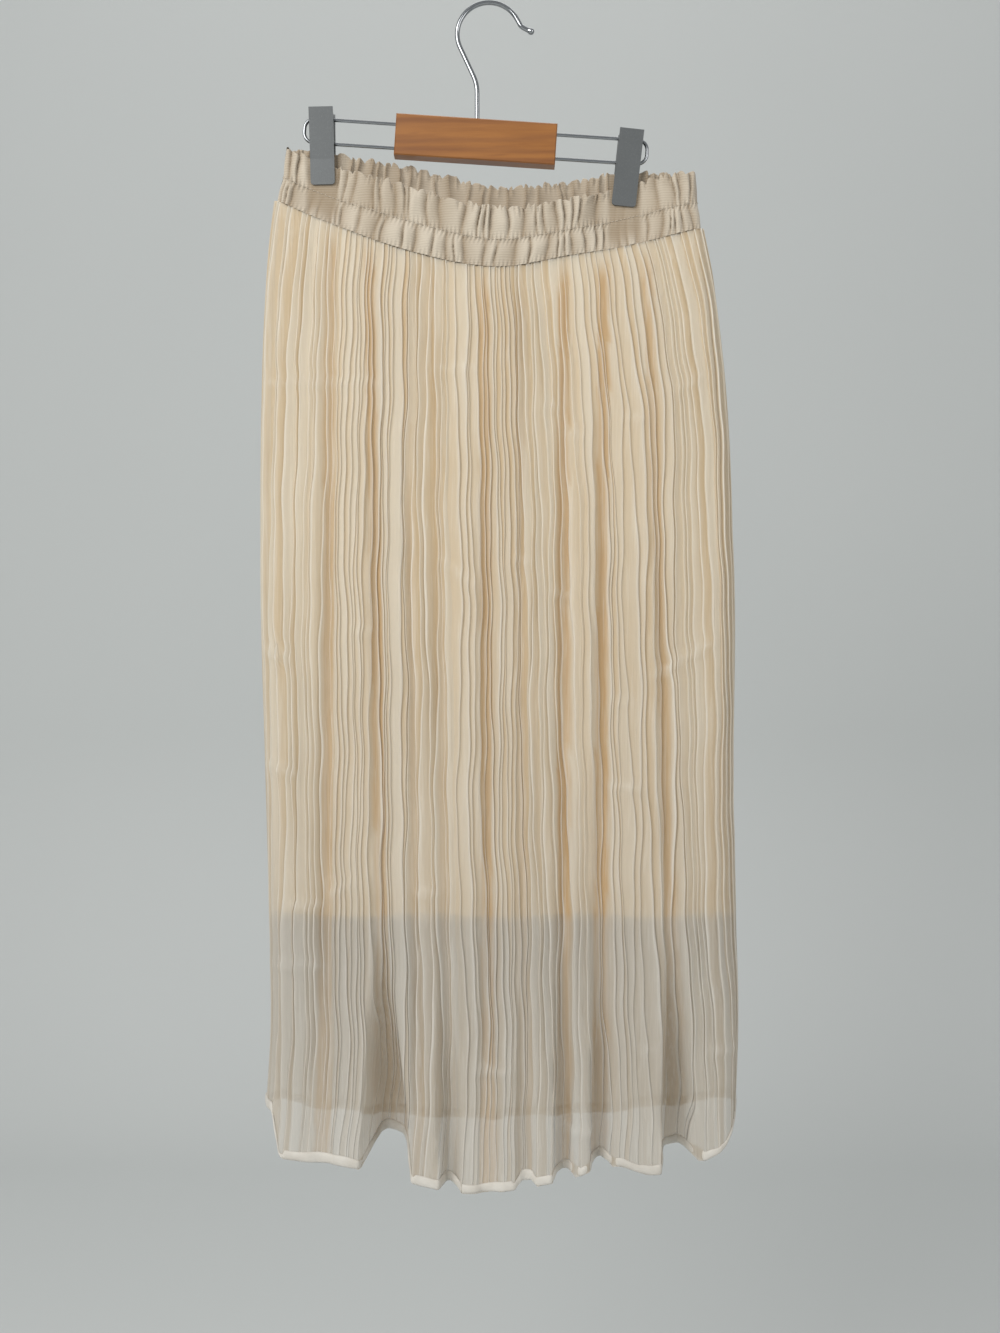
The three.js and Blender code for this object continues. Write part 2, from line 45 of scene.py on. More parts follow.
# The waist across the width: x, then the band's top edge and its seam at the front and at the back
WAIST_LINES = [
    (-162, -107, -149, -107, -149),
    (-126, -121, -165, -112, -156),
    (-60, -142, -189, -122, -166),
    (5, -157.5, -201, -136.5, -180),
    (60, -151, -192.5, -133, -177),
    (103, -138.5, -185, -127.5, -172.5),
    (162, -128, -170, -128, -170),
]

# The hem across the width: x, front, back
HEM_LINES = [
    (-168, -829, -832),
    (-158, -832, -834),
    (-155, -856, -836),
    (-151, -861, -838),
    (-110, -864, -845),
    (-55, -876, -850),
    (-15, -883, -853),
    (50, -875, -850),
    (92, -864, -847),
    (120, -871, -843),
    (160, -861, -838),
    (177, -850, -833),
    (188, -827, -828),
]

# The skirt from its seam to its hem: share of the way down, left edge, right edge, front and back depth
SKIRT_SECTIONS = [
    (0, -162.5, 162.5, 11, 8.5),
    (0.06, -167, 170, 15, 12),
    (0.2, -171.5, 180, 20, 17),
    (0.42, -172.5, 185, 25, 22),
    (0.62, -169, 184.5, 29, 26),
    (0.78, -166, 186, 34, 30),
    (0.9, -164.5, 188, 39, 34),
    (1, -168, 186, 43, 38),
]

# The lining in the same columns
LINING_SECTIONS = [
    (0, -158.5, 158.5, 7.2, 5.2),
    (0.1, -161.5, 164, 8.5, 7),
    (0.4, -166, 177, 10.5, 9.5),
    (0.7, -165, 179, 13, 12),
    (1, -162.5, 182, 16, 15),
]
LINING_HEM_Z = -685.5

# The waistband from its seam up: share of the height, left, right, front, back, gather height, clip pressure
BAND_SECTIONS = [
    (0, -160, 160, 10.4, 8, 1.6, 0.1),
    (0.24, -158, 159, 11.2, 8.4, 3.6, 0.88),
    (0.47, -155.5, 157.5, 10.4, 7.6, 0.9, 0.95),
    (0.75, -154.5, 157, 11.4, 8.4, 3.8, 1),
    (1, -153, 156, 10.8, 8, 3.4, 1),
]

# The largest folds: x near the waist, x at the hem, half width there and at the hem, depths, lift of the hem
FRONT_FOLDS = [
    (-118, -122, 8, 9, 5, 2, 0),
    (-90, -75, 8, 19, 6, 47, 20),
    (-64, -50, 7, 7, 3.5, 0, 0),
    (-42, -28, 7, 8, 3.5, 16, 3),
    (-4, 0, 8, 9, 6, 3, 0),
    (22, 27, 7, 8, 3.5, 8, 4),
    (56, 55, 8, 8, 7, 18, 3),
    (86, 82, 9, 8, 7.5, 20, 3),
    (118, 141, 8, 14, 5, 37, 7),
]
BACK_FOLDS = [
    (-125, -132, 8, 13, 5, 22, 5),
    (-86, -94, 7, 8, 4, 9, 0),
    (-38, -46, 8, 14, 6, 23, 6),
    (8, 4, 7, 9, 5, 12, 2),
    (47, 50, 7, 8, 4, 5, 0),
    (92, 98, 9, 14, 6, 23, 6),
    (138, 146, 8, 10, 4, 14, 3),
]
FOLD_STARTS = 0.04
FOLD_FULL = 0.4
FOLD_OPENS = 0.74

# The plan of a hanging panel
END_SHARE = 0.75
LONGEST_END = 18
FACE_FULLNESS = 0.3
PLAN_SAMPLES = 960
END_SAMPLES = 80
FACING_SPAN = 6

# Pleats: one knife fold as share of its width and of its depth, with how much of it is the pale edge, a
# painted highlight that is partly the doubled cloth there
PLEATS = 80
PLEAT_ROWS = 168
PLEAT_PROFILE = [
    (0, 0.2, 0),
    (0.12, 0.26, 0),
    (0.48, 0.56, 0.08),
    (0.82, 0.86, 0.3),
    (1, 1, 1),
    (1.08, 0.85, 0.8),
    (0.97, 0.45, 0),
]
PLEAT_TIP = {"from": 0.8, "to": 1.07, "reach": 0.16}
PLEAT_MIDDLE = 0.58
PLEAT_DEPTHS = [(0, 1.4), (0.03, 3), (0.1, 3.7), (0.4, 3.4), (0.75, 3.2), (0.86, 2.4), (0.94, 1.4), (1, 0.9)]
PLEAT_STEEPEST = 0.75
PLEAT_WIDTHS = {"least": 0.55, "more": 1.15, "rarity": 1.5}
PLEAT_TIPS = {"least": 0.35, "more": 0.65}
PLEAT_OWN_DEPTHS = {"least": 0.55, "more": 0.6}
PLEAT_RATES = {"least": 0.8, "more": 1.6}
PLEAT_LIGHTNESS = {"middle": 0.5, "step": 0.3, "spread": 0.7}
# How strongly the pleat edges and the press creases get a painted highlight
PLEAT_RIDGE = {"least": 0.5, "more": 0.5, "raised": 0.2}
PLEAT_DRIFT = {"share": 0.25, "down": 11, "each": 1.7}
PLEAT_ENDS = 0.02
PLEAT_TAPER = 0.36
PLEATS_RELAX = 0.84

# Sideways waver of the pleats: size, then how fast it runs down, across and with the panel's seed
PLEAT_WAVERS = [
    (0.8, 17, 9, 1),
    (0.6, 41, -15, 2),
    (0.4, 83, 11, 1),
]
FRONT_LEANS = [(0, -1), (14, 1), (28, -1), (35, 1), (47, -1), (57, 1), (69, -1)]
BACK_LEANS = [(0, 1), (12, -1), (28, 1), (46, -1), (57, 1), (72, -1)]
SKIRT_SET_IN = 0.8
# The painted shade in the fold valleys: the fold depth that gives it in full, the mask's outer and inner
# edges, and its share below the lining
VALLEY = {"depth": 6.5, "edge": 0.5, "inside": 0.68, "sheer": 0.6}
# How the lining's painted light fades lower down: its share at the lowest, and the heights it fades between
WARMTH = {"low": 0.4, "from": -720, "to": -360}

# Press creases on each panel: from x, z to x, z, how far they stand out, and how far they kink the pleats
FRONT_CREASES = [
    (-166, -288, -80, -288, 0.7, 0.8),
    (-40, -278, -10, -277, 0.7, 0.6),
    (38, -306, 52, -307, 0.6, 0.9),
    (57, -326, 71, -329, 0.6, 0.9),
    (101, -314, 115, -315, 0.7, 0.7),
    (139, -295, 161, -282, 0.8, 1),
    (-36, -419, -8, -442, 0.7, 1),
    (-101, -472, -86, -474, 0.7, 0.8),
    (-166, -488, -147, -493, 1.3, 1.8),
    (-165, -572, -143, -580, 1.2, 1.2),
    (18, -420, 32, -422, 0.7, 0.8),
    (46, -445, 60, -447, 0.7, 0.8),
    (123, -507, 168, -481, 1.1, 1.3),
    (93, -525, 107, -526, 0.7, 0.8),
    (90, -588, 113, -589, 1.1, 1),
    (-149, -677, -122, -676, 1.2, 1),
    (-119, -669, -99, -658, 1, 1),
    (-54, -666, -37, -667, 1.1, 0.8),
    (-161, -720, -123, -721, 1, 0.8),
    (-10, -795, 16, -796, 1, 0.7),
    (53, -839, 79, -840, 1, 0.7),
    (110, -781, 122, -781, 0.9, 0.7),
    (161, -782, 184, -783, 0.9, 0.7),
]
BACK_CREASES = [
    (-150, -300, -96, -304, 0.8, 0.9),
    (-30, -272, 22, -276, 0.7, 0.8),
    (70, -330, 118, -322, 0.9, 1),
    (-120, -455, -78, -462, 0.9, 1),
    (10, -505, 46, -498, 0.8, 1),
    (118, -470, 164, -488, 1.1, 1.2),
    (-160, -585, -118, -578, 1, 1),
    (-20, -640, 28, -648, 0.9, 0.9),
    (88, -668, 130, -660, 1.1, 1),
    (-90, -742, -50, -745, 0.9, 0.7),
    (40, -772, 78, -770, 0.9, 0.7),
]
CREASE_REACH = 3.4
CREASE_ENDS = 6
KINK_REACH = 7
CREASE_RISE = 1.3
KINK_SHIFT = 1.5

# The rolled hem
HEM_ROLL = {
    "height": 7,
    "thickness": 2,
    "sides": 10,
    "puff": 0.25,
    "least": 0.16,
    "level": 1.25,
    "smoothed": 7,
}
HEM_PUFFS = [(5.3, 0), (3.1, 1.3), (11, 0)]
HEM_RISES = [(0.12, 13, 0.7), (0.06, 4.1, 0)]

# The waistband: two gathered casings either side of a stitch line
BAND_COLUMNS = 480
BAND_ROWS = 66
BAND_INSIDE_ROWS = 26
BAND_TURN_ROWS = 5
BAND_WALL = 2
BAND_ENDS = 0.03
BAND_SEAM_LIFT = 0.3
BAND_INSIDE_FOOT = 0.02
# The inside rows keep less of the gathers' lightness, a painted shade
BAND_INSIDE_RIDGE = 0.6
BAND_SWAYS = [(1.1, 4, 21, 1), (0.7, 7, -47, 0)]
STITCH_LINE = 0.47
STITCH_BLEND = 0.04
UPPER_GATHERS = 34
LOWER_GATHERS = 38
GATHER = {"least": 0.3, "more": 1.5, "rarity": 1.5, "lean": 0.45, "flatness": 3.6, "middle": 0.5}
GATHER_HEIGHTS = {"least": 0.45, "more": 0.55}
GATHER_SEEDS = {"upper": 20, "lower": 40, "frill_height": 60, "frill_depth": 70}
FRILL = {"count": 42, "height": 4.2, "depth": 2.6, "from": 0.8, "middle": 0.5, "depth_middle": 0.45}
PUCKER = {"pitch": 3.1, "depth": 0.7, "reach": 0.09, "at_seam": 0.8}
STITCH = {"pitch": 3.1, "length": 2.1, "thickness": 0.34, "out": 0.25, "sides": 6}
STITCH_LENGTHS = (-0.5, -0.42, 0, 0.42, 0.5)
STITCH_RADII = (0.2, 0.8, 1, 0.8, 0.2)

# The lining's own shape
LINING_COLUMNS = 220
LINING_ROWS = 70
LINING_WAVE = 1.3
LINING_WAVES = [(1, 2, 34, 1), (0.6, -3, 71, 0)]
LINING_ENDS = 0.04
LINING_WAVES_FULL = 0.3
LINING_HEM_WAVE = {"size": 1.5, "rate": 20, "start": 1}
LINING_TURNED_FROM = 0.965
# The soft edge of the lining's painted light at the lining's hem
LINED_EDGE = 3

# The hanger, in the sizes of its solids
HANGER = {"x": -10, "z": -103.3, "tilt": math.radians(3.75)}
BLOCK = {"width": 121.5, "depth": 12, "height": 31.2}
ROD = {
    "radius": 1.3,
    "spacing": 18.2,
    "reach": 129.7,
    "corner": 7.5,
    "in_block": 11,
    "steps": 150,
    "sides": 16,
}
HOOK = {
    "wire": 1.8,
    "radius": 24,
    "from": math.radians(205),
    "to": math.radians(30),
    "fillet": 7,
    "tip_run": 8,
    "tip_kick": 7.5,
    "tip_way": math.radians(-23),
    "ball": 2.5,
    "in_block": 12,
    "steps": 220,
    "sides": 20,
    "cap_steps": 8,
    "cap_end": 0.02,
}
SPRING = {"radius": 5.3, "length": 12, "drop": 15.6, "wire": 0.7, "turns": 8, "steps": 28, "sides": 8}
CLIPS = [
    {"name": "left", "x": -126.3, "z": -80.1, "tilt": math.radians(-1.2), "grip": -125.4},
    {"name": "right", "x": 107.5, "z": -96.6, "tilt": math.radians(6.3), "grip": 102},
]
GRIP_FLAT = 11
GRIP_FADE = 27
GATHER_FLAT = 9.5
GATHER_FADE = 5
GRIPPED_DEPTH = 3
GATHERS_PRESSED = 0.88

# The camera stands level in front of the skirt
CAMERA = {"x": 8.3, "y": -1050, "z": -500.1, "focal": 1389, "sensor": 36}
IMAGE_HEIGHT = 1333
CAMERA_FAR = 30

# The studio in metres, and its soft lights: name, place, size, power, colour
STUDIO = {"floor_z": -1.35, "wall_y": 2.0, "sweep": 0.7, "half": 5.0, "wall_top": 3.0, "sweep_steps": 24}
LIGHTS = [
    ("window_light", (-1.5, -1.9, 0.7), (1.8, 1.8), 62, (1, 0.99, 0.97)),
    ("fill_light", (1.9, -1.6, 0.1), (1.6, 1.6), 16, (1, 0.98, 0.96)),
    ("top_light", (0.2, 1.2, 2.2), (2.4, 1.2), 15, (1, 0.99, 0.98)),
]
LIGHT_TARGET = (0, 0, -0.5)
AIR_COLOUR = (0.9, 0.92, 0.93, 1)
AIR_STRENGTH = 0.45
SHEER_LAYERS = 32


# Numbers and lines

def smooth_step(low, high, value):
    t = np.clip((value - low) / (high - low), 0, 1)
    return t * t * (3 - 2 * t)


def blend(a, b, share):
    return a + (b - a) * share


def scatter(index, seed):
    wave = np.sin(np.asarray(index) * 12.9898 + seed * 78.233) * 43758.5453
    return wave - np.floor(wave)


# Uneven sizes, one to each index
def uneven(sizes, index, seed):
    return sizes["least"] + sizes["more"] * scatter(index, seed) ** sizes.get("rarity", 1)


# The sum of some waves: size, then how fast each runs down, across and with the seed
def waver(waves, down, across, seed):
    return sum(size * np.sin(fall * down + along * across + turn * seed) for size, fall, along, turn in waves)


# A smooth line through one column of a table, over its first column
def line_through(rows, column):
    xs = np.array([row[0] for row in rows], float)
    ys = np.array([row[column] for row in rows], float)

    def line(x):
        x = np.asarray(x, float)
        i = np.clip(np.searchsorted(xs, x) - 1, 0, len(xs) - 2)
        before = np.maximum(i - 1, 0)
        after = np.minimum(i + 2, len(xs) - 1)
        span = xs[i + 1] - xs[i]
        t = np.clip((x - xs[i]) / span, 0, 1)
        leave = (ys[i + 1] - ys[before]) / (xs[i + 1] - xs[before]) * span
        arrive = (ys[after] - ys[i]) / (xs[after] - xs[i]) * span
        ends = (2 * t**3 - 3 * t**2 + 1) * ys[i] + (3 * t**2 - 2 * t**3) * ys[i + 1]
        return ends + (t**3 - 2 * t**2 + t) * leave + (t**3 - t**2) * arrive

    return line


PANELS = {
    FRONT: {
        "name": "front",
        "top": line_through(WAIST_LINES, 1),
        "seam": line_through(WAIST_LINES, 2),
        "hem": line_through(HEM_LINES, 1),
        "folds": FRONT_FOLDS,
        "leans": FRONT_LEANS,
        "creases": FRONT_CREASES,
        "depth": 3,
        "seed": 3,
    },
    BACK: {
        "name": "back",
        "top": line_through(WAIST_LINES, 3),
        "seam": line_through(WAIST_LINES, 4),
        "hem": line_through(HEM_LINES, 2),
        "folds": BACK_FOLDS,
        "leans": BACK_LEANS,
        "creases": BACK_CREASES,
        "depth": 4,
        "seed": 8,
    },
}


# How hard the nearer clip presses the cloth, from 0 to 1
def grip_at(x, flat=GRIP_FLAT, fade=GRIP_FADE):
    nearest = np.min([np.abs(x - clip["grip"]) for clip in CLIPS], axis=0)
    return 1 - smooth_step(flat, flat + fade, nearest)


# How far the folds reach in at x, how far they lift the cloth there, and how much painted shade their valleys
# get
def fold_reach(folds, x, down):
    opening = smooth_step(FOLD_OPENS, 1, down)
    started = smooth_step(FOLD_STARTS, FOLD_FULL, down)
    push = np.zeros_like(x)
    lift = np.zeros_like(x)
    valley_shade = np.zeros_like(x)
    for top, hem, width, hem_width, depth, hem_depth, raised in folds:
        away = np.minimum(np.abs(x - blend(top, hem, down)) / blend(width, hem_width, opening), 1)
        share = (1 - away ** (2 + 2 * opening)) ** 2
        push += blend(depth, hem_depth, opening) * started * share
        lift += raised * share * opening
        # The mask of the valley's painted shade, along the fold's middle
        strip = smooth_step(VALLEY["edge"], VALLEY["inside"], share)
        valley_shade = np.maximum(valley_shade, strip * min(depth / VALLEY["depth"], 1) ** 2)
    return push, lift, valley_shade * smooth_step(0, FOLD_STARTS, down)


def across_of(line, side):
    along = np.empty_like(line)
    along[1:-1] = line[2:] - line[:-2]
    along[0] = line[1] - line[0]
    along[-1] = line[-1] - line[-2]
    along /= np.linalg.norm(along, axis=1, keepdims=True)
    return side * np.stack([-along[:, 1], along[:, 0]], axis=1)


def unit(rows):
    return rows / np.linalg.norm(rows, axis=-1, keepdims=True)


# One panel's plan at one height: points on the cloth, the ways out of it, the lift, the painted valley shade,
# and the run along it
def plan_of(side, left, right, depth, folds=(), down=0.0, pressure=0.0):
    middle = (left + right) / 2
    half = (right - left) / 2
    end = min(END_SHARE * depth, LONGEST_END)
    step = np.arange(PLAN_SAMPLES + 1)
    from_end = np.minimum(step, PLAN_SAMPLES - step)
    face = (from_end - END_SAMPLES) / (PLAN_SAMPLES / 2 - END_SAMPLES)
    turn = math.pi / 2 * np.minimum(from_end / END_SAMPLES, 1)
    inward = np.where(from_end < END_SAMPLES, end * (1 - np.cos(turn)), end + (half - end) * face)
    x = middle + np.where(step * 2 < PLAN_SAMPLES, -1, 1) * (half - inward)
    across = (x - middle) / half
    open_depth = depth * (1 - FACE_FULLNESS * across**2) * np.sin(turn)
    pressed = np.minimum(open_depth, GRIPPED_DEPTH)
    line = np.stack([x, side * blend(open_depth, pressed, grip_at(x) * pressure)], axis=1)
    out = across_of(line, side)
    out[0] = (-1, 0)
    out[-1] = (1, 0)
    push, lift, valley_shade = fold_reach(folds, x, down)
    folded = line - out * push[:, None]
    facing = side * np.stack([folded[:-FACING_SPAN, 1] - folded[FACING_SPAN:, 1],
                              folded[FACING_SPAN:, 0] - folded[:-FACING_SPAN, 0]], axis=1)
    through = out.copy()
    inner = slice(FACING_SPAN // 2, PLAN_SAMPLES + 1 - FACING_SPAN // 2)
    through[inner] = unit(unit(facing) + out[inner])
    run = np.concatenate([[0], np.cumsum(np.linalg.norm(np.diff(line, axis=0), axis=1))])
    return {"at": folded, "through": through, "lift": lift, "valley_shade": valley_shade, "run": run}


# The plan's points at given distances along its open line
def along_plan(plan, distance):
    run = plan["run"]
    at = np.stack([np.interp(distance, run, plan["at"][:, k]) for k in range(2)], axis=1)
    through = unit(np.stack([np.interp(distance, run, plan["through"][:, k]) for k in range(2)], axis=1))
    return at, through, np.interp(distance, run, plan["lift"]), np.interp(distance, run, plan["valley_shade"])


# Meshes

def grid_faces(rows, columns, flipped=False, closed=False):
    across = columns if closed else columns - 1
    row = np.arange(rows - 1)[:, None] * columns
    first = np.arange(across)[None, :]
    second = (first + 1) % columns
    a, b, c, d = row + first, row + columns + first, row + columns + second, row + second
    order = (a, d, c, b) if flipped else (a, b, c, d)
    return np.stack([corner.ravel() for corner in order], axis=1)


def make_piece(name, points, faces, finish, marks=None, replaces=()):
    mesh = bpy.data.meshes.new(name)
    mesh.from_pydata((np.asarray(points) * MM).tolist(), [], np.asarray(faces).tolist())
    mesh.polygons.foreach_set("use_smooth", np.ones(len(mesh.polygons), bool))
    for mark, values in (marks or {}).items():
        layer = mesh.attributes.new(mark, "FLOAT", "POINT")
        layer.data.foreach_set("value", np.asarray(values, np.float32).ravel())
    mesh.materials.append(finish)
    mesh.update()
    piece = bpy.data.objects.new(name, mesh)
    bpy.context.collection.objects.link(piece)
    if replaces:
        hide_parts(*replaces)
    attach(piece, "root")
    return piece


# A round wire along points, with its own radius at each
def tube_points(path, radii, sides, sideways=None):
    along = unit(np.gradient(path, axis=0))
    if sideways is None:
        sideways = np.tile([0.0, 1.0, 0.0], (len(path), 1))
    upright = unit(np.cross(along, sideways))
    turn = np.arange(sides) / sides * 2 * math.pi
    ring = np.cos(turn)[None, :, None] * upright[:, None, :]
    ring = ring + np.sin(turn)[None, :, None] * sideways[:, None, :]
    return (path[:, None, :] + ring * np.asarray(radii)[:, None, None]).reshape(-1, 3)


def even_steps(path, count):
    run = np.concatenate([[0], np.cumsum(np.linalg.norm(np.diff(path, axis=0), axis=1))])
    wanted = np.linspace(0, run[-1], count)
    return np.stack([np.interp(wanted, run, path[:, k]) for k in range(path.shape[1])], axis=1)


# Shader maths written as expressions on sockets

class Socket:
    def __init__(self, finish, socket):
        self.finish = finish
        self.socket = socket

    def maths(self, operation, first, second):
        return self.finish.node("ShaderNodeMath", {"operation": operation}, {0: first, 1: second})

    def __add__(self, other):
        return self.maths("ADD", self, other)

    def __mul__(self, other):
        return self.maths("MULTIPLY", self, other)

    __radd__ = __add__
    __rmul__ = __mul__


class Finish:
    def __init__(self, name):
        self.material = bpy.data.materials.new(name)
        self.material.use_nodes = True
        self.tree = self.material.node_tree
        self.tree.nodes.clear()
        self.places = self.node("ShaderNodeTexCoord", output="Object")

    # Any node: its settings first, then the values or links of its sockets
    def node(self, kind, settings=None, inputs=None, output=0):
        made = self.tree.nodes.new(kind)
        for key, value in (settings or {}).items():
            setattr(made, key, value)
        for key, value in (inputs or {}).items():
            if isinstance(value, Socket):
                self.tree.links.new(value.socket, made.inputs[key])
            else:
                made.inputs[key].default_value = value
        return Socket(self, made.outputs[output]) if made.outputs else None

    def mark(self, name):
        return self.node("ShaderNodeAttribute", {"attribute_name": name}, output="Fac")

    def mix(self, share, first, second):
        return self.node("ShaderNodeMix", {"data_type": "RGBA"}, {0: share, 6: first, 7: second}, output=2)

    def stretched(self, scale):
        settings = {"operation": "MULTIPLY"}
        return self.node("ShaderNodeVectorMath", settings, {0: self.places, 1: scale})

    def noise(self, scale, detail=2.0, roughness=0.5, places=None):
        inputs = {"Vector": places or self.places, "Scale": scale, "Detail": detail, "Roughness": roughness}
        return self.node("ShaderNodeTexNoise", None, inputs)

    def bands(self, scale, direction, distortion=0.0, detail_scale=1.0, places=None):
        settings = {"wave_type": "BANDS", "bands_direction": direction}
        inputs = {"Vector": places or self.places, "Scale": scale, "Distortion": distortion,
                  "Detail Scale": detail_scale}
        return self.node("ShaderNodeTexWave", settings, inputs, output="Fac")

    def between(self, value, low, high):
        inputs = {"Value": value, "From Min": low, "From Max": high}
        return self.node("ShaderNodeMapRange", {"clamp": True}, inputs)

    def bump(self, height, strength, distance):
        inputs = {"Height": height, "Strength": strength, "Distance": distance}
        return self.node("ShaderNodeBump", None, inputs)

    def principled(self, inputs):
        return self.node("ShaderNodeBsdfPrincipled", None, inputs)

    def close(self, shader):
        self.node("ShaderNodeOutputMaterial", None, {"Surface": shader})
        return self.material


# A colour given in the 0 to 255 values of a screen
def tint(red, green, blue):
    linear = [((c / 255 + 0.055) / 1.055) ** 2.4 for c in (red, green, blue)]
    return (*linear, 1.0)


# Tones over the lining, brighter and warmer: the cloth's colour with painted light from the lining seen
# through; EDGE is the pleat edges' painted highlight
CHIFFON_EDGE = tint(241, 235, 222)
CHIFFON_BAND = tint(233, 225, 208)
CHIFFON_DENSE = tint(213, 192, 160)
# Orange-tan painted shade for the fold valleys
CHIFFON_VALLEY_SHADE = tint(196, 154, 98)
# The colour of the light that passes through the cloth
CHIFFON_GLOW = tint(218, 206, 184)
# Greyer, darker tones where no lining hangs behind: painted shade seen through the sheer cloth; EDGE is the
# pleat edges' painted highlight
SHEER_EDGE = tint(225, 221, 213)
SHEER_BAND = tint(207, 201, 191)
SHEER_DENSE = tint(191, 179, 162)
# The rolled hem and the lining
HEM_COLOUR = tint(228, 224, 216)
HEM_SHADE = tint(208, 202, 192)
LINING_COLOUR = tint(244, 233, 213)
LINING_SHADE = tint(236, 218, 188)
# The band's crepe: its SHADE is painted shade for the gather hollows, the inside and where the clips press
# the band; the thread's twist uses it too
CREPE_COLOUR = tint(194, 183, 166)
CREPE_SHADE = tint(144, 126, 103)
THREAD_COLOUR = tint(216, 206, 190)
WOOD_LIGHT = tint(150, 95, 36)
WOOD_DARK = tint(124, 74, 28)
WIRE_COLOUR = tint(158, 161, 164)
WIRE_SCUFFED = tint(138, 141, 144)
PAINT_COLOUR = tint(97, 100, 101)
PAINT_SHADE = tint(94, 97, 98)
PAINT_FLAKE = tint(150, 154, 155)
WALL_COLOUR = tint(202, 205, 204)
WALL_SHADE = (*(c * 0.97 for c in WALL_COLOUR[:3]), 1)


def pleated_chiffon():
    f = Finish("pleated_chiffon")
    ridge = f.mark("ridge")
    band = f.mark("band")
    lined = f.mark("lined")
    slub = f.noise(260, 3, 0.6, f.stretched((1.0, 1.0, 0.06)))
    cloud = f.noise(14, 2)
    grain = f.noise(1900, 1)
    fine = f.between(f.noise(480, 2, 0.55, f.stretched((1.0, 1.0, 0.03))), 0.5, 0.62)
    weave = f.bands(900, "X", 1.5) * 0.5 + f.bands(900, "Z", 1.5) * 0.5
    open_weave = f.between(band * 0.7 + cloud * 0.3, 0.15, 0.85)
    backed = f.mix(open_weave, CHIFFON_DENSE, CHIFFON_BAND)
    # Brighter, warmer painted light where the lining hangs behind; greyer painted shade below it
    body = f.mix(lined, f.mix(open_weave, SHEER_DENSE, SHEER_BAND), backed)
    # The fold valleys get their painted shade
    body = f.mix(f.mark("valley_shade") * 0.85, body, CHIFFON_VALLEY_SHADE)
    pale = f.mix(lined, SHEER_EDGE, CHIFFON_EDGE)
    # The pleat edges and press creases painted paler: a painted highlight, partly the doubled cloth at the
    # edges
    colour = f.mix(f.between(ridge + slub * 0.3 + fine * 0.22, 0.2, 1.1), body, pale)
    normal = f.bump(weave * 0.3 + grain * 0.3 + slub + fine, 0.4, 0.0007)
    cloth = f.principled({"Base Color": colour, "Roughness": 0.82, "Normal": normal, "Sheen Weight": 0.25,
                          "Sheen Roughness": 0.45, "Specular IOR Level": 0.25})
    glow = f.node("ShaderNodeBsdfTranslucent", None, {"Color": CHIFFON_GLOW})
    sheer = f.node("ShaderNodeBsdfTransparent", None, {"Color": (1, 1, 1, 1)})
    lit = f.node("ShaderNodeMixShader", None, {0: 0.28, 1: cloth, 2: glow})
    cover = f.between(band * -0.14 + ridge * 0.1 + slub * 0.16 + 0.72, 0, 1)
    return f.close(f.node("ShaderNodeMixShader", None, {0: cover, 1: sheer, 2: lit}))


def hem_chiffon():
    f = Finish("hem_chiffon")
    slub = f.noise(420, 2, 0.6)
    cloud = f.noise(60, 2)
    colour = f.mix(f.between(cloud, 0.3, 0.7), HEM_SHADE, HEM_COLOUR)
    normal = f.bump(slub + f.noise(1700, 1) * 0.5, 0.3, 0.0005)
    cloth = f.principled({"Base Color": colour, "Roughness": 0.8, "Normal": normal, "Sheen Weight": 0.3,
                          "Sheen Roughness": 0.4, "Specular IOR Level": 0.25})
    glow = f.node("ShaderNodeBsdfTranslucent", None, {"Color": HEM_COLOUR})
    return f.close(f.node("ShaderNodeMixShader", None, {0: 0.22, 1: cloth, 2: glow}))


def slip_lining():
    f = Finish("slip_lining")
    cloud = f.noise(22, 2)
    slub = f.noise(500, 2, 0.5, f.stretched((1.0, 1.0, 0.08)))
    turned = f.mark("turned")
    colour = f.mix(f.between(cloud * 0.5 + turned * 0.6, 0.1, 1), LINING_COLOUR, LINING_SHADE)
    normal = f.bump(slub, 0.2, 0.0004)
    rough = f.between(slub, 0, 1) * 0.15 + 0.5
    return f.close(f.principled({"Base Color": colour, "Roughness": rough, "Normal": normal,
                                 "Sheen Weight": 0.2, "Specular IOR Level": 0.35}))


def waist_crepe():
    f = Finish("waist_crepe")
    ridge = f.mark("ridge")
    ribs = f.bands(165, "Z", 1.2, 1.6, f.stretched((0.2, 0.2, 1.0)))
    cloud = f.noise(30, 2)
    grain = f.noise(1500, 2)
    # Gather tops lighter; their hollows, the pressed parts and the inside in painted shade
    shade = f.between(ridge * 0.75 + ribs * 0.15 + cloud * 0.3, 0.1, 0.9)
    colour = f.mix(shade, CREPE_SHADE, CREPE_COLOUR)
    normal = f.bump(ribs + grain * 0.5, 0.3, 0.0005)
    return f.close(f.principled({"Base Color": colour, "Roughness": 0.88, "Normal": normal,
                                 "Sheen Weight": 0.3, "Sheen Roughness": 0.5, "Specular IOR Level": 0.25}))


def seam_thread():
    f = Finish("seam_thread")
    twist = f.bands(1400, "DIAGONAL", 0.4)
    # The twist's darker stripes are painted shade in its grooves
    colour = f.mix(twist, CREPE_SHADE, THREAD_COLOUR)
    normal = f.bump(twist, 0.4, 0.0002)
    return f.close(f.principled({"Base Color": colour, "Roughness": 0.7, "Normal": normal,
                                 "Sheen Weight": 0.2}))


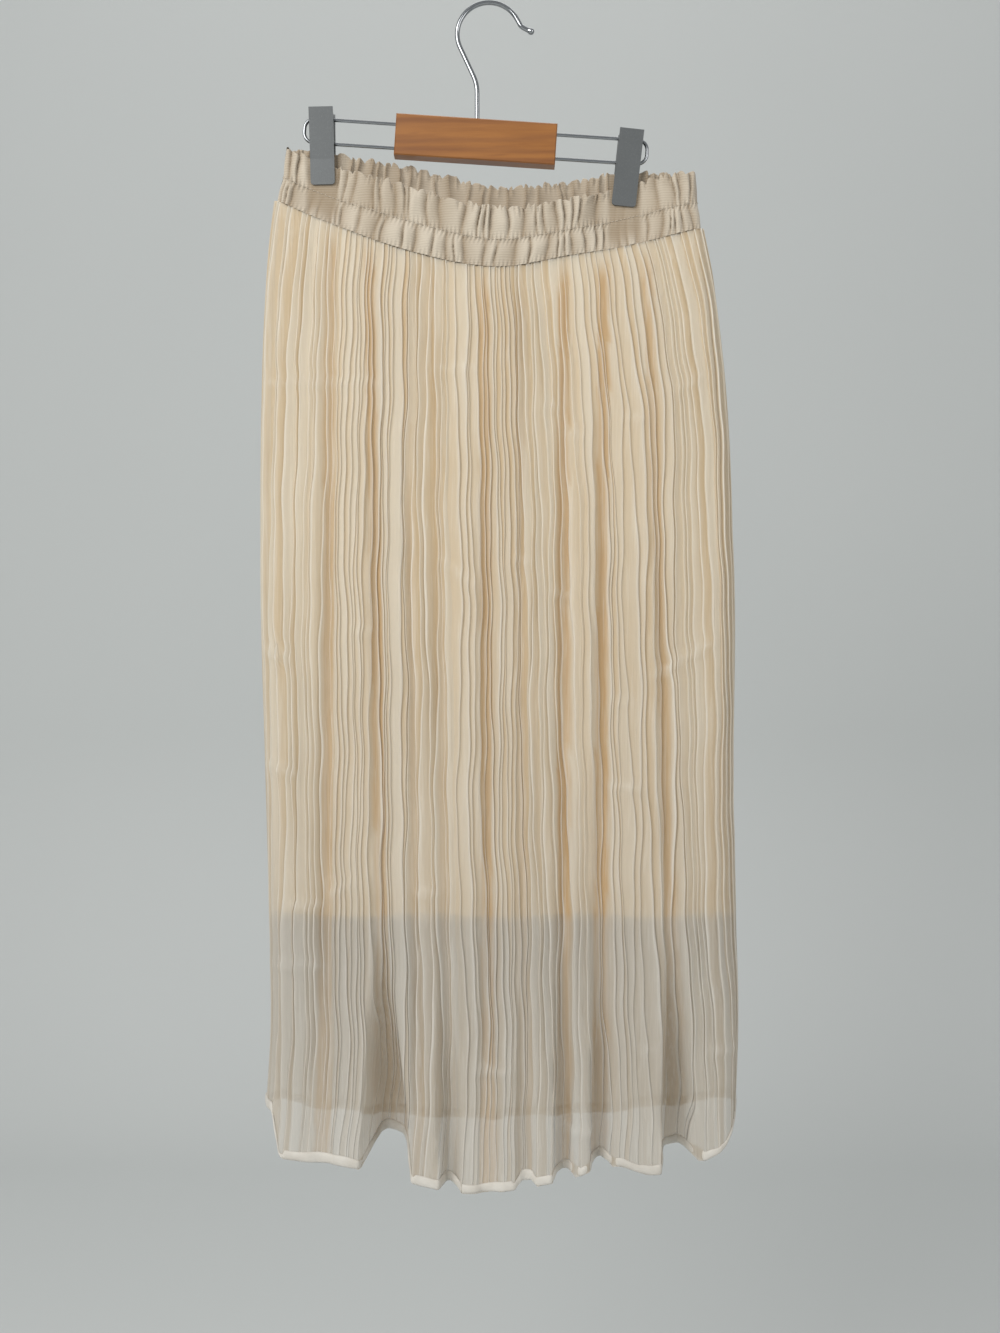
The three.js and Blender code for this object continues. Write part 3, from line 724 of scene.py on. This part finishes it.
def hanger_wood():
    f = Finish("hanger_wood")
    lean = f.node("ShaderNodeMapping", None, {"Vector": f.places, "Rotation": (0, -HANGER["tilt"], 0),
                                              "Scale": (1, 6, 14)})
    grain = f.noise(16, 5, 0.62, lean)
    rings = f.bands(2.2, "Z", 6, 2.2, lean)
    pores = f.noise(260, 2, 0.5, f.stretched((0.12, 1, 1.6)))
    share = f.between(grain * 0.75 + rings * 0.25, 0.3, 0.7)
    plain = f.mix(share, WOOD_DARK, WOOD_LIGHT)
    colour = f.mix(f.between(pores, 0.62, 0.72) * 0.45, plain, WOOD_DARK)
    normal = f.bump(grain * 0.6 + pores * 0.4, 0.15, 0.0004)
    rough = grain * 0.2 + 0.3
    return f.close(f.principled({"Base Color": colour, "Roughness": rough, "Normal": normal,
                                 "Coat Weight": 0.25, "Coat Roughness": 0.2}))


def bright_wire():
    f = Finish("bright_wire")
    scuff = f.noise(180, 3, 0.6)
    rough = f.between(scuff, 0.35, 0.8) * 0.15 + 0.1
    colour = f.mix(f.between(scuff, 0.5, 0.8), WIRE_COLOUR, WIRE_SCUFFED)
    return f.close(f.principled({"Base Color": colour, "Roughness": rough, "Metallic": 1.0}))


def grey_paint():
    f = Finish("grey_paint")
    peel = f.noise(900, 2)
    cloud = f.noise(45, 2)
    flake = f.between(f.noise(2600, 0), 0.6, 0.75)
    plain = f.mix(f.between(cloud, 0.2, 0.8), PAINT_SHADE, PAINT_COLOUR)
    colour = f.mix(flake * 0.25, plain, PAINT_FLAKE)
    rough = cloud * 0.06 + 0.38
    normal = f.bump(peel, 0.08, 0.0002)
    return f.close(f.principled({"Base Color": colour, "Roughness": rough, "Normal": normal,
                                 "Metallic": 0.35}))


def studio_paint():
    f = Finish("studio_paint")
    cloud = f.noise(1.2, 2)
    shade = f.mix(f.between(cloud, 0.2, 0.8), WALL_COLOUR, WALL_SHADE)
    return f.close(f.principled({"Base Color": shade, "Roughness": 0.9, "Specular IOR Level": 0.2}))


CHIFFON = pleated_chiffon()
HEM_CLOTH = hem_chiffon()
SLIP = slip_lining()
CREPE = waist_crepe()
THREAD = seam_thread()
WOOD = hanger_wood()
WIRE = bright_wire()
PAINT = grey_paint()


# The pleated panels

def pleat_leans(leans):
    ways = np.ones(PLEATS)
    for start, way in leans:
        ways[start:] = way
    return ways


# How far a panel's press creases raise the cloth and shift it sideways
def press_creases(creases, x, z):
    raised = np.zeros_like(z)
    shifted = np.zeros_like(z)
    for x0, z0, x1, z1, height, kink in creases:
        reach = math.hypot(x1 - x0, z1 - z0)
        way = ((x1 - x0) / reach, (z1 - z0) / reach)
        run = (x - x0) * way[0] + (z - z0) * way[1]
        off = (z - z0) * way[0] - (x - x0) * way[1]
        share = smooth_step(-CREASE_ENDS, CREASE_ENDS, run)
        share = share * smooth_step(-CREASE_ENDS, CREASE_ENDS, reach - run)
        raised += CREASE_RISE * height * share * np.exp(-((off / CREASE_REACH) ** 2))
        shifted += KINK_SHIFT * kink * share * (off / KINK_REACH) * np.exp(-((off / KINK_REACH) ** 2))
    return raised, shifted


def skirt_panel(side):
    panel = PANELS[side]
    seed = panel["seed"]
    index = np.arange(PLEATS)
    wide = uneven(PLEAT_WIDTHS, index, seed)
    wide /= wide.sum()
    even_starts = np.cumsum(wide) - wide
    tapers = PLEAT_TAPER * np.minimum(wide, np.roll(wide, 1))
    tapers[0] = 0
    ways = pleat_leans(panel["leans"])
    tips = uneven(PLEAT_TIPS, index, seed + 1)
    meeting = (ways[:-1] > 0) & (ways[1:] < 0)
    tips[:-1][meeting] = 0
    tips[1:][meeting] = 0
    own = uneven(PLEAT_OWN_DEPTHS, index, seed + 2)
    rates = uneven(PLEAT_RATES, index, seed + 5)
    phases = 2 * math.pi * scatter(index, seed + 6)
    lightness = PLEAT_LIGHTNESS["middle"] + PLEAT_LIGHTNESS["step"] * np.where(index % 2 == 0, 1, -1)
    lightness = lightness + PLEAT_LIGHTNESS["spread"] * (scatter(index, seed + 4) - 0.5)
    profile = np.array(PLEAT_PROFILE)
    mirrored = np.concatenate([profile[:1], profile[:0:-1] * (-1, 1, 1) + (1, 0, 0)])
    shapes = np.where(ways[:, None, None] > 0, profile, mirrored)
    ahead = np.where(ways[:, None] > 0, shapes[:, :, 0], 1 - shapes[:, :, 0])
    ahead[:, 0] = 0
    tip = np.clip((ahead - PLEAT_TIP["from"]) / (PLEAT_TIP["to"] - PLEAT_TIP["from"]), 0, 1)
    tip = tip * PLEAT_TIP["reach"]
    height = np.append(shapes[:, :, 1].ravel(), profile[0, 1])
    edge = np.append(shapes[:, :, 2].ravel(), 0)
    pleat = np.append(np.repeat(index, len(profile)), PLEATS - 1)
    depth_line = line_through(PLEAT_DEPTHS, 1)
    edges = [line_through(SKIRT_SECTIONS, column) for column in (1, 2, panel["depth"])]
    rows = []
    marks = {"ridge": [], "band": [], "valley_shade": [], "lined": []}
    for down in np.linspace(0, 1, PLEAT_ROWS):
        plan = plan_of(side, *(float(line(down)) for line in edges), panel["folds"], down)
        length = plan["run"][-1]
        firm = 1 - smooth_step(PLEATS_RELAX, 1, down)
        starts = even_starts + tapers * np.sin(2 * math.pi * rates * down + phases)
        widths = np.diff(np.append(starts, 1.0))
        lateral = shapes[:, :, 0] - ways[:, None] * tip * (1 - tips[:, None] * firm)
        base = np.append((starts[:, None] + lateral * widths[:, None]).ravel(), 1.0)
        ends = smooth_step(0, PLEAT_ENDS, base) * smooth_step(0, PLEAT_ENDS, 1 - base)
        place = np.clip(base + ends * waver(PLEAT_WAVERS, down, base, seed) / length, 0, 1)
        at, through, lift, valley_shade = along_plan(plan, place * length)
        z = blend(panel["seam"](at[:, 0]), panel["hem"](at[:, 0]), down) + lift
        drift = 1 + PLEAT_DRIFT["share"] * np.sin(PLEAT_DRIFT["down"] * down + PLEAT_DRIFT["each"] * index)
        depths = np.minimum(float(depth_line(down)) * own * drift, PLEAT_STEEPEST * widths * length)
        raised, shifted = press_creases(panel["creases"], at[:, 0], z)
        stand = (height - PLEAT_MIDDLE) * depths[pleat] - SKIRT_SET_IN + raised
        beside = np.stack([-through[:, 1], through[:, 0]], axis=1) * -side
        at = at + through * (stand * ends)[:, None] + beside * (shifted * ends)[:, None]
        rows.append(np.column_stack([at, z]))
        # The pale edges' painted highlight, and a painted highlight along the press creases
        paleness = PLEAT_RIDGE["least"] + PLEAT_RIDGE["more"] * own[pleat]
        marks["ridge"].append(edge * paleness + PLEAT_RIDGE["raised"] * raised)
        marks["band"].append(np.clip(lightness[pleat], 0, 1))
        # The painted lining light: full where the lining hangs behind, fading lower down
        lined = smooth_step(LINING_HEM_Z - LINED_EDGE, LINING_HEM_Z + LINED_EDGE, z)
        # The valleys' painted shade, weaker where no lining hangs behind
        marks["valley_shade"].append(valley_shade * blend(VALLEY["sheer"], 1, lined))
        warmth = blend(WARMTH["low"], 1, smooth_step(WARMTH["from"], WARMTH["to"], z))
        marks["lined"].append(lined * warmth)
    points = np.array(rows)
    faces = grid_faces(PLEAT_ROWS, len(height), side == BACK)
    name = panel["name"]
    made = make_piece(f"skirt_{name}_cloth", points.reshape(-1, 3), faces, CHIFFON,
                      {mark: np.array(values) for mark, values in marks.items()}, [f"skirt_{name}"])
    return made, points


# The rolled hem along a panel's lowest row
def hem_roll(side, points):
    name = PANELS[side]["name"]
    edge = points[-1]
    span = HEM_ROLL["smoothed"]
    kernel = np.ones(span) / span
    padded = np.pad(edge, ((span // 2, span // 2), (0, 0)), mode="edge")
    path = np.stack([np.convolve(padded[:, k], kernel, mode="valid") for k in range(3)], axis=1)
    path[0] = edge[0]
    path[-1] = edge[-1]
    path = even_steps(path, len(edge))
    run = np.concatenate([[0], np.cumsum(np.linalg.norm(np.diff(path, axis=0), axis=1))])
    along = unit(np.gradient(path, axis=0))
    up = np.array([0.0, 0.0, 1.0])
    out = unit(np.cross(along, np.tile(up, (len(path), 1)))) * (1 if side == FRONT else -1)
    upright = unit(np.cross(out, along)) * (1 if side == FRONT else -1)
    puff = 1 + HEM_ROLL["puff"] * sum(np.sin(run / pitch + start) for pitch, start in HEM_PUFFS) / 2
    level = np.clip(HEM_ROLL["level"] * (1 - np.abs(along[:, 2])), HEM_ROLL["least"], 1)
    tall = (1 + sum(size * np.sin(run / pitch + start) for size, pitch, start in HEM_RISES)) * level
    turn = np.arange(HEM_ROLL["sides"]) / HEM_ROLL["sides"] * 2 * math.pi
    rise = np.cos(turn)[None, :] * (HEM_ROLL["height"] / 2 * tall)[:, None]
    thick = np.sin(turn)[None, :] * (HEM_ROLL["thickness"] / 2 * puff)[:, None]
    centre = path + up * (HEM_ROLL["height"] / 2 * level)[:, None]
    ring = centre[:, None, :] + rise[:, :, None] * upright[:, None, :] + thick[:, :, None] * out[:, None, :]
    faces = grid_faces(len(path), HEM_ROLL["sides"], side == FRONT, closed=True)
    return make_piece(f"hem_{name}_roll", ring.reshape(-1, 3), faces, HEM_CLOTH)


# The lining hangs in soft waves, and its lowest rows are marked as a turned hem
def lining_panel(side):
    panel = PANELS[side]
    edges = [line_through(LINING_SECTIONS, column) for column in (1, 2, panel["depth"])]
    share = np.linspace(0, 1, LINING_COLUMNS)
    rows = []
    turned = []
    for down in np.linspace(0, 1, LINING_ROWS):
        plan = plan_of(side, *(float(edge(down)) for edge in edges))
        at, through, _, _ = along_plan(plan, share * plan["run"][-1])
        ends = smooth_step(0, LINING_ENDS, share) * smooth_step(0, LINING_ENDS, 1 - share)
        wave = waver(LINING_WAVES, down, share, panel["seed"])
        stand = LINING_WAVE * wave * ends * smooth_step(0, LINING_WAVES_FULL, down) - LINING_WAVE
        at = at + through * (stand * ends)[:, None]
        hem_wave = np.sin(LINING_HEM_WAVE["rate"] * share + LINING_HEM_WAVE["start"])
        z = blend(panel["seam"](at[:, 0]), LINING_HEM_Z + LINING_HEM_WAVE["size"] * hem_wave, down)
        rows.append(np.column_stack([at, z]))
        turned.append(np.full(LINING_COLUMNS, 1.0 if down > LINING_TURNED_FROM else 0.0))
    name = panel["name"]
    faces = grid_faces(LINING_ROWS, LINING_COLUMNS, side == BACK)
    points = np.array(rows).reshape(-1, 3)
    marks = {"turned": np.array(turned)}
    return make_piece(f"lining_{name}_cloth", points, faces, SLIP, marks, [f"lining_{name}"])


# Uneven gathers across the band: flat pillows that lean a little, between sharp valleys, from 0 to 1
def gathers(share, count, seed):
    index = np.arange(count)
    widths = uneven(GATHER, index, seed)
    starts = np.concatenate([[0], np.cumsum(widths / widths.sum())])
    own = uneven(GATHER_HEIGHTS, index, seed + 1)
    lean = GATHER["lean"] * np.where(scatter(index, seed + 2) > 0.5, 1, -1)
    i = np.clip(np.searchsorted(starts, share, side="right") - 1, 0, count - 1)
    t = (share - starts[i]) / (starts[i + 1] - starts[i])
    pillow = 1 - np.abs(2 * t - 1) ** GATHER["flatness"]
    return own[i] * pillow * (1 + lean[i] * (2 * t - 1))


def waistband_panel(side):
    panel = PANELS[side]
    seed = panel["seed"]
    edges = [line_through(BAND_SECTIONS, column) for column in (1, 2, panel["depth"])]
    gather_line = line_through(BAND_SECTIONS, 5)
    pressure_line = line_through(BAND_SECTIONS, 6)
    share = np.linspace(0, 1, BAND_COLUMNS)
    ends = smooth_step(0, BAND_ENDS, share) * smooth_step(0, BAND_ENDS, 1 - share)

    def band_row(up, inside):
        plan = plan_of(side, *(float(edge(up)) for edge in edges), pressure=float(pressure_line(up)))
        length = plan["run"][-1]
        place = np.clip(share + ends * waver(BAND_SWAYS, up, share, seed) / length, 0, 1)
        at, through, _, _ = along_plan(plan, share * length)
        upper = gathers(place, UPPER_GATHERS, seed + GATHER_SEEDS["upper"])
        lower = gathers(place, LOWER_GATHERS, seed + GATHER_SEEDS["lower"])
        over = smooth_step(STITCH_LINE - STITCH_BLEND, STITCH_LINE + STITCH_BLEND, up)
        puff = blend(lower, upper, over)
        pressed = 1 - GATHERS_PRESSED * grip_at(at[:, 0], GATHER_FLAT, GATHER_FADE) * float(pressure_line(up))
        at_stitch = np.exp(-(((up - STITCH_LINE) / PUCKER["reach"]) ** 2))
        at_seam = np.exp(-((up / PUCKER["reach"]) ** 2))
        run = share * length
        pucker = PUCKER["depth"] * np.cos(2 * math.pi * run / PUCKER["pitch"])
        pucker = pucker * (at_stitch + PUCKER["at_seam"] * at_seam)
        edge = smooth_step(FRILL["from"], 1, up) * pressed * ends
        stand = (float(gather_line(up)) * (puff - GATHER["middle"]) + pucker) * pressed * ends
        deep = gathers(place, FRILL["count"], seed + GATHER_SEEDS["frill_depth"])
        tall = gathers(place, FRILL["count"], seed + GATHER_SEEDS["frill_height"])
        stand += FRILL["depth"] * (deep - FRILL["depth_middle"]) * edge
        frill = FRILL["height"] * (tall - FRILL["middle"]) * edge
        at = at + through * (stand - inside)[:, None]
        z = blend(panel["seam"](at[:, 0]) + BAND_SEAM_LIFT, panel["top"](at[:, 0]), up) + frill
        # The gathers' height, less where the clips press, also sets the band's painted light and shade
        return np.column_stack([at, z]), puff * pressed

    made = [band_row(up, 0.0) for up in np.linspace(0, 1, BAND_ROWS)]
    rows = [row for row, _ in made]
    ridges = [puff for _, puff in made]
    top_outer = rows[-1]
    top_inner, top_puff = band_row(1.0, BAND_WALL)
    for step in range(1, BAND_TURN_ROWS + 1):
        turn = math.pi * step / (BAND_TURN_ROWS + 1)
        across = (1 - math.cos(turn)) / 2
        rolled = blend(top_outer, top_inner, across)
        rolled[:, 2] += BAND_WALL / 2 * math.sin(turn)
        rows.append(rolled)
        ridges.append(top_puff)
    for up in np.linspace(1, BAND_INSIDE_FOOT, BAND_INSIDE_ROWS):
        row, puff = band_row(up, BAND_WALL)
        rows.append(row)
        # The inside gets more painted shade
        ridges.append(puff * BAND_INSIDE_RIDGE)
    points = np.array(rows)
    faces = grid_faces(len(rows), BAND_COLUMNS, side == FRONT)
    name = panel["name"]
    marks = {"ridge": np.array(ridges)}
    piece = make_piece(f"waistband_{name}_cloth", points.reshape(-1, 3), faces, CREPE, marks,
                       [f"waistband_{name}"])
    stitch_row = rows[int(round(STITCH_LINE * (BAND_ROWS - 1)))]
    return piece, stitch_row


# Thread stitches set along a row of points, each a short rounded dash
def stitch_run(name, side, line):
    count = int(np.sum(np.linalg.norm(np.diff(line, axis=0), axis=1)) / STITCH["pitch"])
    middles = even_steps(line, count)[1:-1]
    along = unit(np.gradient(middles, axis=0))
    lengths = np.array(STITCH_LENGTHS) * STITCH["length"]
    radii = np.array(STITCH_RADII) * STITCH["thickness"]
    sides = STITCH["sides"]
    points = []
    faces = []
    for middle, way in zip(middles, along):
        out = unit(np.cross(way, [0, 0, 1])) * (1 if side == FRONT else -1)
        path = middle + out * STITCH["out"] + way * lengths[:, None]
        start = len(points) * len(lengths) * sides
        sideways = np.tile(out, (len(path), 1))
        points.append(tube_points(path, radii, sides, sideways))
        faces.append(grid_faces(len(path), sides, closed=True) + start)
    return make_piece(name, np.concatenate(points), np.concatenate(faces), THREAD)


for side in (FRONT, BACK):
    label = PANELS[side]["name"]
    cloth, cloth_points = skirt_panel(side)
    roll = hem_roll(side, cloth_points)
    lining = lining_panel(side)
    band, stitch_line = waistband_panel(side)
    stitches = stitch_run(f"waistband_{label}_stitches", side, stitch_line)


# The hanger's wires and springs

def arc(centre, radius, start, end, count):
    turn = np.linspace(start, end, count)
    return np.column_stack([centre[0] + radius * np.cos(turn), centre[1] + radius * np.sin(turn)])


def bend(start, corner, end, count=12):
    t = np.linspace(0, 1, count)[:, None]
    start, corner, end = (np.array(p, float) for p in (start, corner, end))
    return (1 - t) ** 2 * start + 2 * t * (1 - t) * corner + t**2 * end


def upright(path):
    return np.column_stack([path[:, 0], np.zeros(len(path)), path[:, 1]])


# Turned by the tilt about the middle of a tilted piece, and moved to it
def placed(points, x, z, tilt):
    cos, sin = math.cos(tilt), math.sin(tilt)
    return np.column_stack([x + cos * points[:, 0] + sin * points[:, 2], points[:, 1],
                            z - sin * points[:, 0] + cos * points[:, 2]])


def hook_wire():
    radius = HOOK["radius"]
    centre_z = HOOK["wire"] - radius
    start = radius * np.array([math.cos(HOOK["from"]), math.sin(HOOK["from"])]) + (0, centre_z)
    shank_x = HANGER["x"] + math.sin(HANGER["tilt"]) * BLOCK["height"] / 2
    block_top = HANGER["z"] + math.cos(HANGER["tilt"]) * BLOCK["height"] / 2
    bend_z = start[1] - (shank_x - start[0]) / math.tan(HOOK["from"])
    corner = np.array([shank_x, bend_z])
    leaning = unit(corner - start)
    end = radius * np.array([math.cos(HOOK["to"]), math.sin(HOOK["to"])]) + (0, centre_z)
    run = HOOK["tip_run"] * np.array([math.sin(HOOK["to"]), -math.cos(HOOK["to"])])
    knee = end + run
    tip = knee + HOOK["tip_kick"] * np.array([math.cos(HOOK["tip_way"]), math.sin(HOOK["tip_way"])])
    path = np.concatenate([
        [(shank_x, block_top - HOOK["in_block"])],
        bend((shank_x, bend_z - HOOK["fillet"]), corner, corner - leaning * HOOK["fillet"]),
        arc((0, centre_z), radius, HOOK["from"], HOOK["to"], 64),
        bend(knee - run / 4, knee, tip),
    ])
    path = even_steps(path, HOOK["steps"])
    last = path[-1]
    away = np.linalg.norm(path - last, axis=1)
    ball = np.sqrt(np.maximum(HOOK["ball"] ** 2 - away**2, 0))
    radii = np.maximum(ball, HOOK["wire"])
    way = unit(path[-1] - path[-2])
    cap_turn = np.linspace(0, math.pi / 2, HOOK["cap_steps"])[1:]
    cap = last + way * (HOOK["ball"] * np.sin(cap_turn))[:, None]
    cap_radii = np.maximum(HOOK["ball"] * np.cos(cap_turn), HOOK["cap_end"])
    path = np.concatenate([path, cap])
    points = tube_points(upright(path), np.concatenate([radii, cap_radii]), HOOK["sides"])
    faces = grid_faces(len(path), HOOK["sides"], closed=True)
    make_piece("hook_wire", points, faces, WIRE, replaces=["hanger_hook"])


def rod_wire(name, way):
    start = BLOCK["width"] / 2 - ROD["in_block"]
    half = ROD["spacing"] / 2
    inner = ROD["reach"] - ROD["corner"]
    path = np.concatenate([
        [(start, half)],
        arc((inner, half - ROD["corner"]), ROD["corner"], math.pi / 2, 0, 16),
        arc((inner, ROD["corner"] - half), ROD["corner"], 0, -math.pi / 2, 16),
        [(start, -half)],
    ])
    path = even_steps(path, ROD["steps"])
    points = tube_points(upright(path), np.full(len(path), ROD["radius"]), ROD["sides"])
    points[:, 0] *= way
    points = placed(points, HANGER["x"], HANGER["z"], HANGER["tilt"])
    faces = grid_faces(len(path), ROD["sides"], way < 0, closed=True)
    make_piece(f"rod_{name}_wire", points, faces, WIRE, replaces=[f"hanger_rod_{name}"])


def clip_coil(clip):
    radius = SPRING["radius"] - SPRING["wire"]
    turn = np.linspace(0, SPRING["turns"] * 2 * math.pi, SPRING["turns"] * SPRING["steps"])
    along = np.linspace(-0.5, 0.5, len(turn)) * (SPRING["length"] - 2 * SPRING["wire"])
    out = np.column_stack([np.zeros(len(turn)), np.cos(turn), np.sin(turn)])
    path = np.column_stack([along, radius * out[:, 1], radius * out[:, 2] - SPRING["drop"]])
    points = tube_points(path, np.full(len(path), SPRING["wire"]), SPRING["sides"], out)
    points = placed(points, clip["x"], clip["z"], clip["tilt"])
    faces = grid_faces(len(path), SPRING["sides"], closed=True)
    name = clip["name"]
    make_piece(f"clip_{name}_coil", points, faces, WIRE, replaces=[f"clip_{name}_spring"])


hook_wire()
rod_wire("left", -1)
rod_wire("right", 1)
for clip in CLIPS:
    clip_coil(clip)


# The block and the jaws keep their solids and get their own finishes

def refinish(node, finish):
    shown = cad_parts[node]
    shown.data.materials.clear()
    shown.data.materials.append(finish)


refinish("hanger_block", WOOD)
for clip in CLIPS:
    for jaw in ("front", "back"):
        refinish(f"clip_{clip['name']}_{jaw}", PAINT)


# Studio: a floor that sweeps up into a wall, soft light and the camera

def studio_sweep():
    turn = np.linspace(-math.pi / 2, 0, STUDIO["sweep_steps"])
    radius = STUDIO["sweep"]
    curve_y = STUDIO["wall_y"] - radius + radius * np.cos(turn)
    curve_z = STUDIO["floor_z"] + radius + radius * np.sin(turn)
    curve = np.column_stack([curve_y, curve_z])
    half = STUDIO["half"]
    line = np.concatenate([[(-half, STUDIO["floor_z"])], curve, [(STUDIO["wall_y"], STUDIO["wall_top"])]])
    points = [(x, y, z) for y, z in line for x in (-half, half)]
    mesh = bpy.data.meshes.new("studio_sweep")
    mesh.from_pydata(points, [], grid_faces(len(line), 2, True).tolist())
    mesh.polygons.foreach_set("use_smooth", np.ones(len(mesh.polygons), bool))
    mesh.materials.append(studio_paint())
    mesh.update()
    sweep = bpy.data.objects.new("studio_sweep", mesh)
    bpy.context.collection.objects.link(sweep)


def soft_light(name, place, size, power, colour):
    lamp = bpy.data.lights.new(name, "AREA")
    lamp.shape = "RECTANGLE"
    lamp.size, lamp.size_y = size
    lamp.energy = power
    lamp.color = colour
    light = bpy.data.objects.new(name, lamp)
    light.location = place
    away = np.array(place) - np.array(LIGHT_TARGET)
    flat = math.hypot(away[0], away[1])
    light.rotation_euler = (math.atan2(flat, away[2]), 0, math.atan2(away[0], -away[1]))
    bpy.context.collection.objects.link(light)


studio_sweep()
for light_row in LIGHTS:
    soft_light(*light_row)

scene = bpy.context.scene
world = bpy.data.worlds.new("studio_air")
world.use_nodes = True
sky = world.node_tree.nodes["Background"]
sky.inputs["Color"].default_value = AIR_COLOUR
sky.inputs["Strength"].default_value = AIR_STRENGTH
scene.world = world
scene.view_settings.view_transform = "Standard"
scene.cycles.transparent_max_bounces = SHEER_LAYERS

lens = bpy.data.cameras.new("camera")
lens.sensor_width = CAMERA["sensor"]
lens.lens = CAMERA["sensor"] * CAMERA["focal"] / IMAGE_HEIGHT
lens.clip_end = CAMERA_FAR
camera = bpy.data.objects.new("camera", lens)
camera.location = (CAMERA["x"] * MM, CAMERA["y"] * MM, CAMERA["z"] * MM)
camera.rotation_euler = (math.pi / 2, 0, 0)
bpy.context.collection.objects.link(camera)
scene.camera = camera
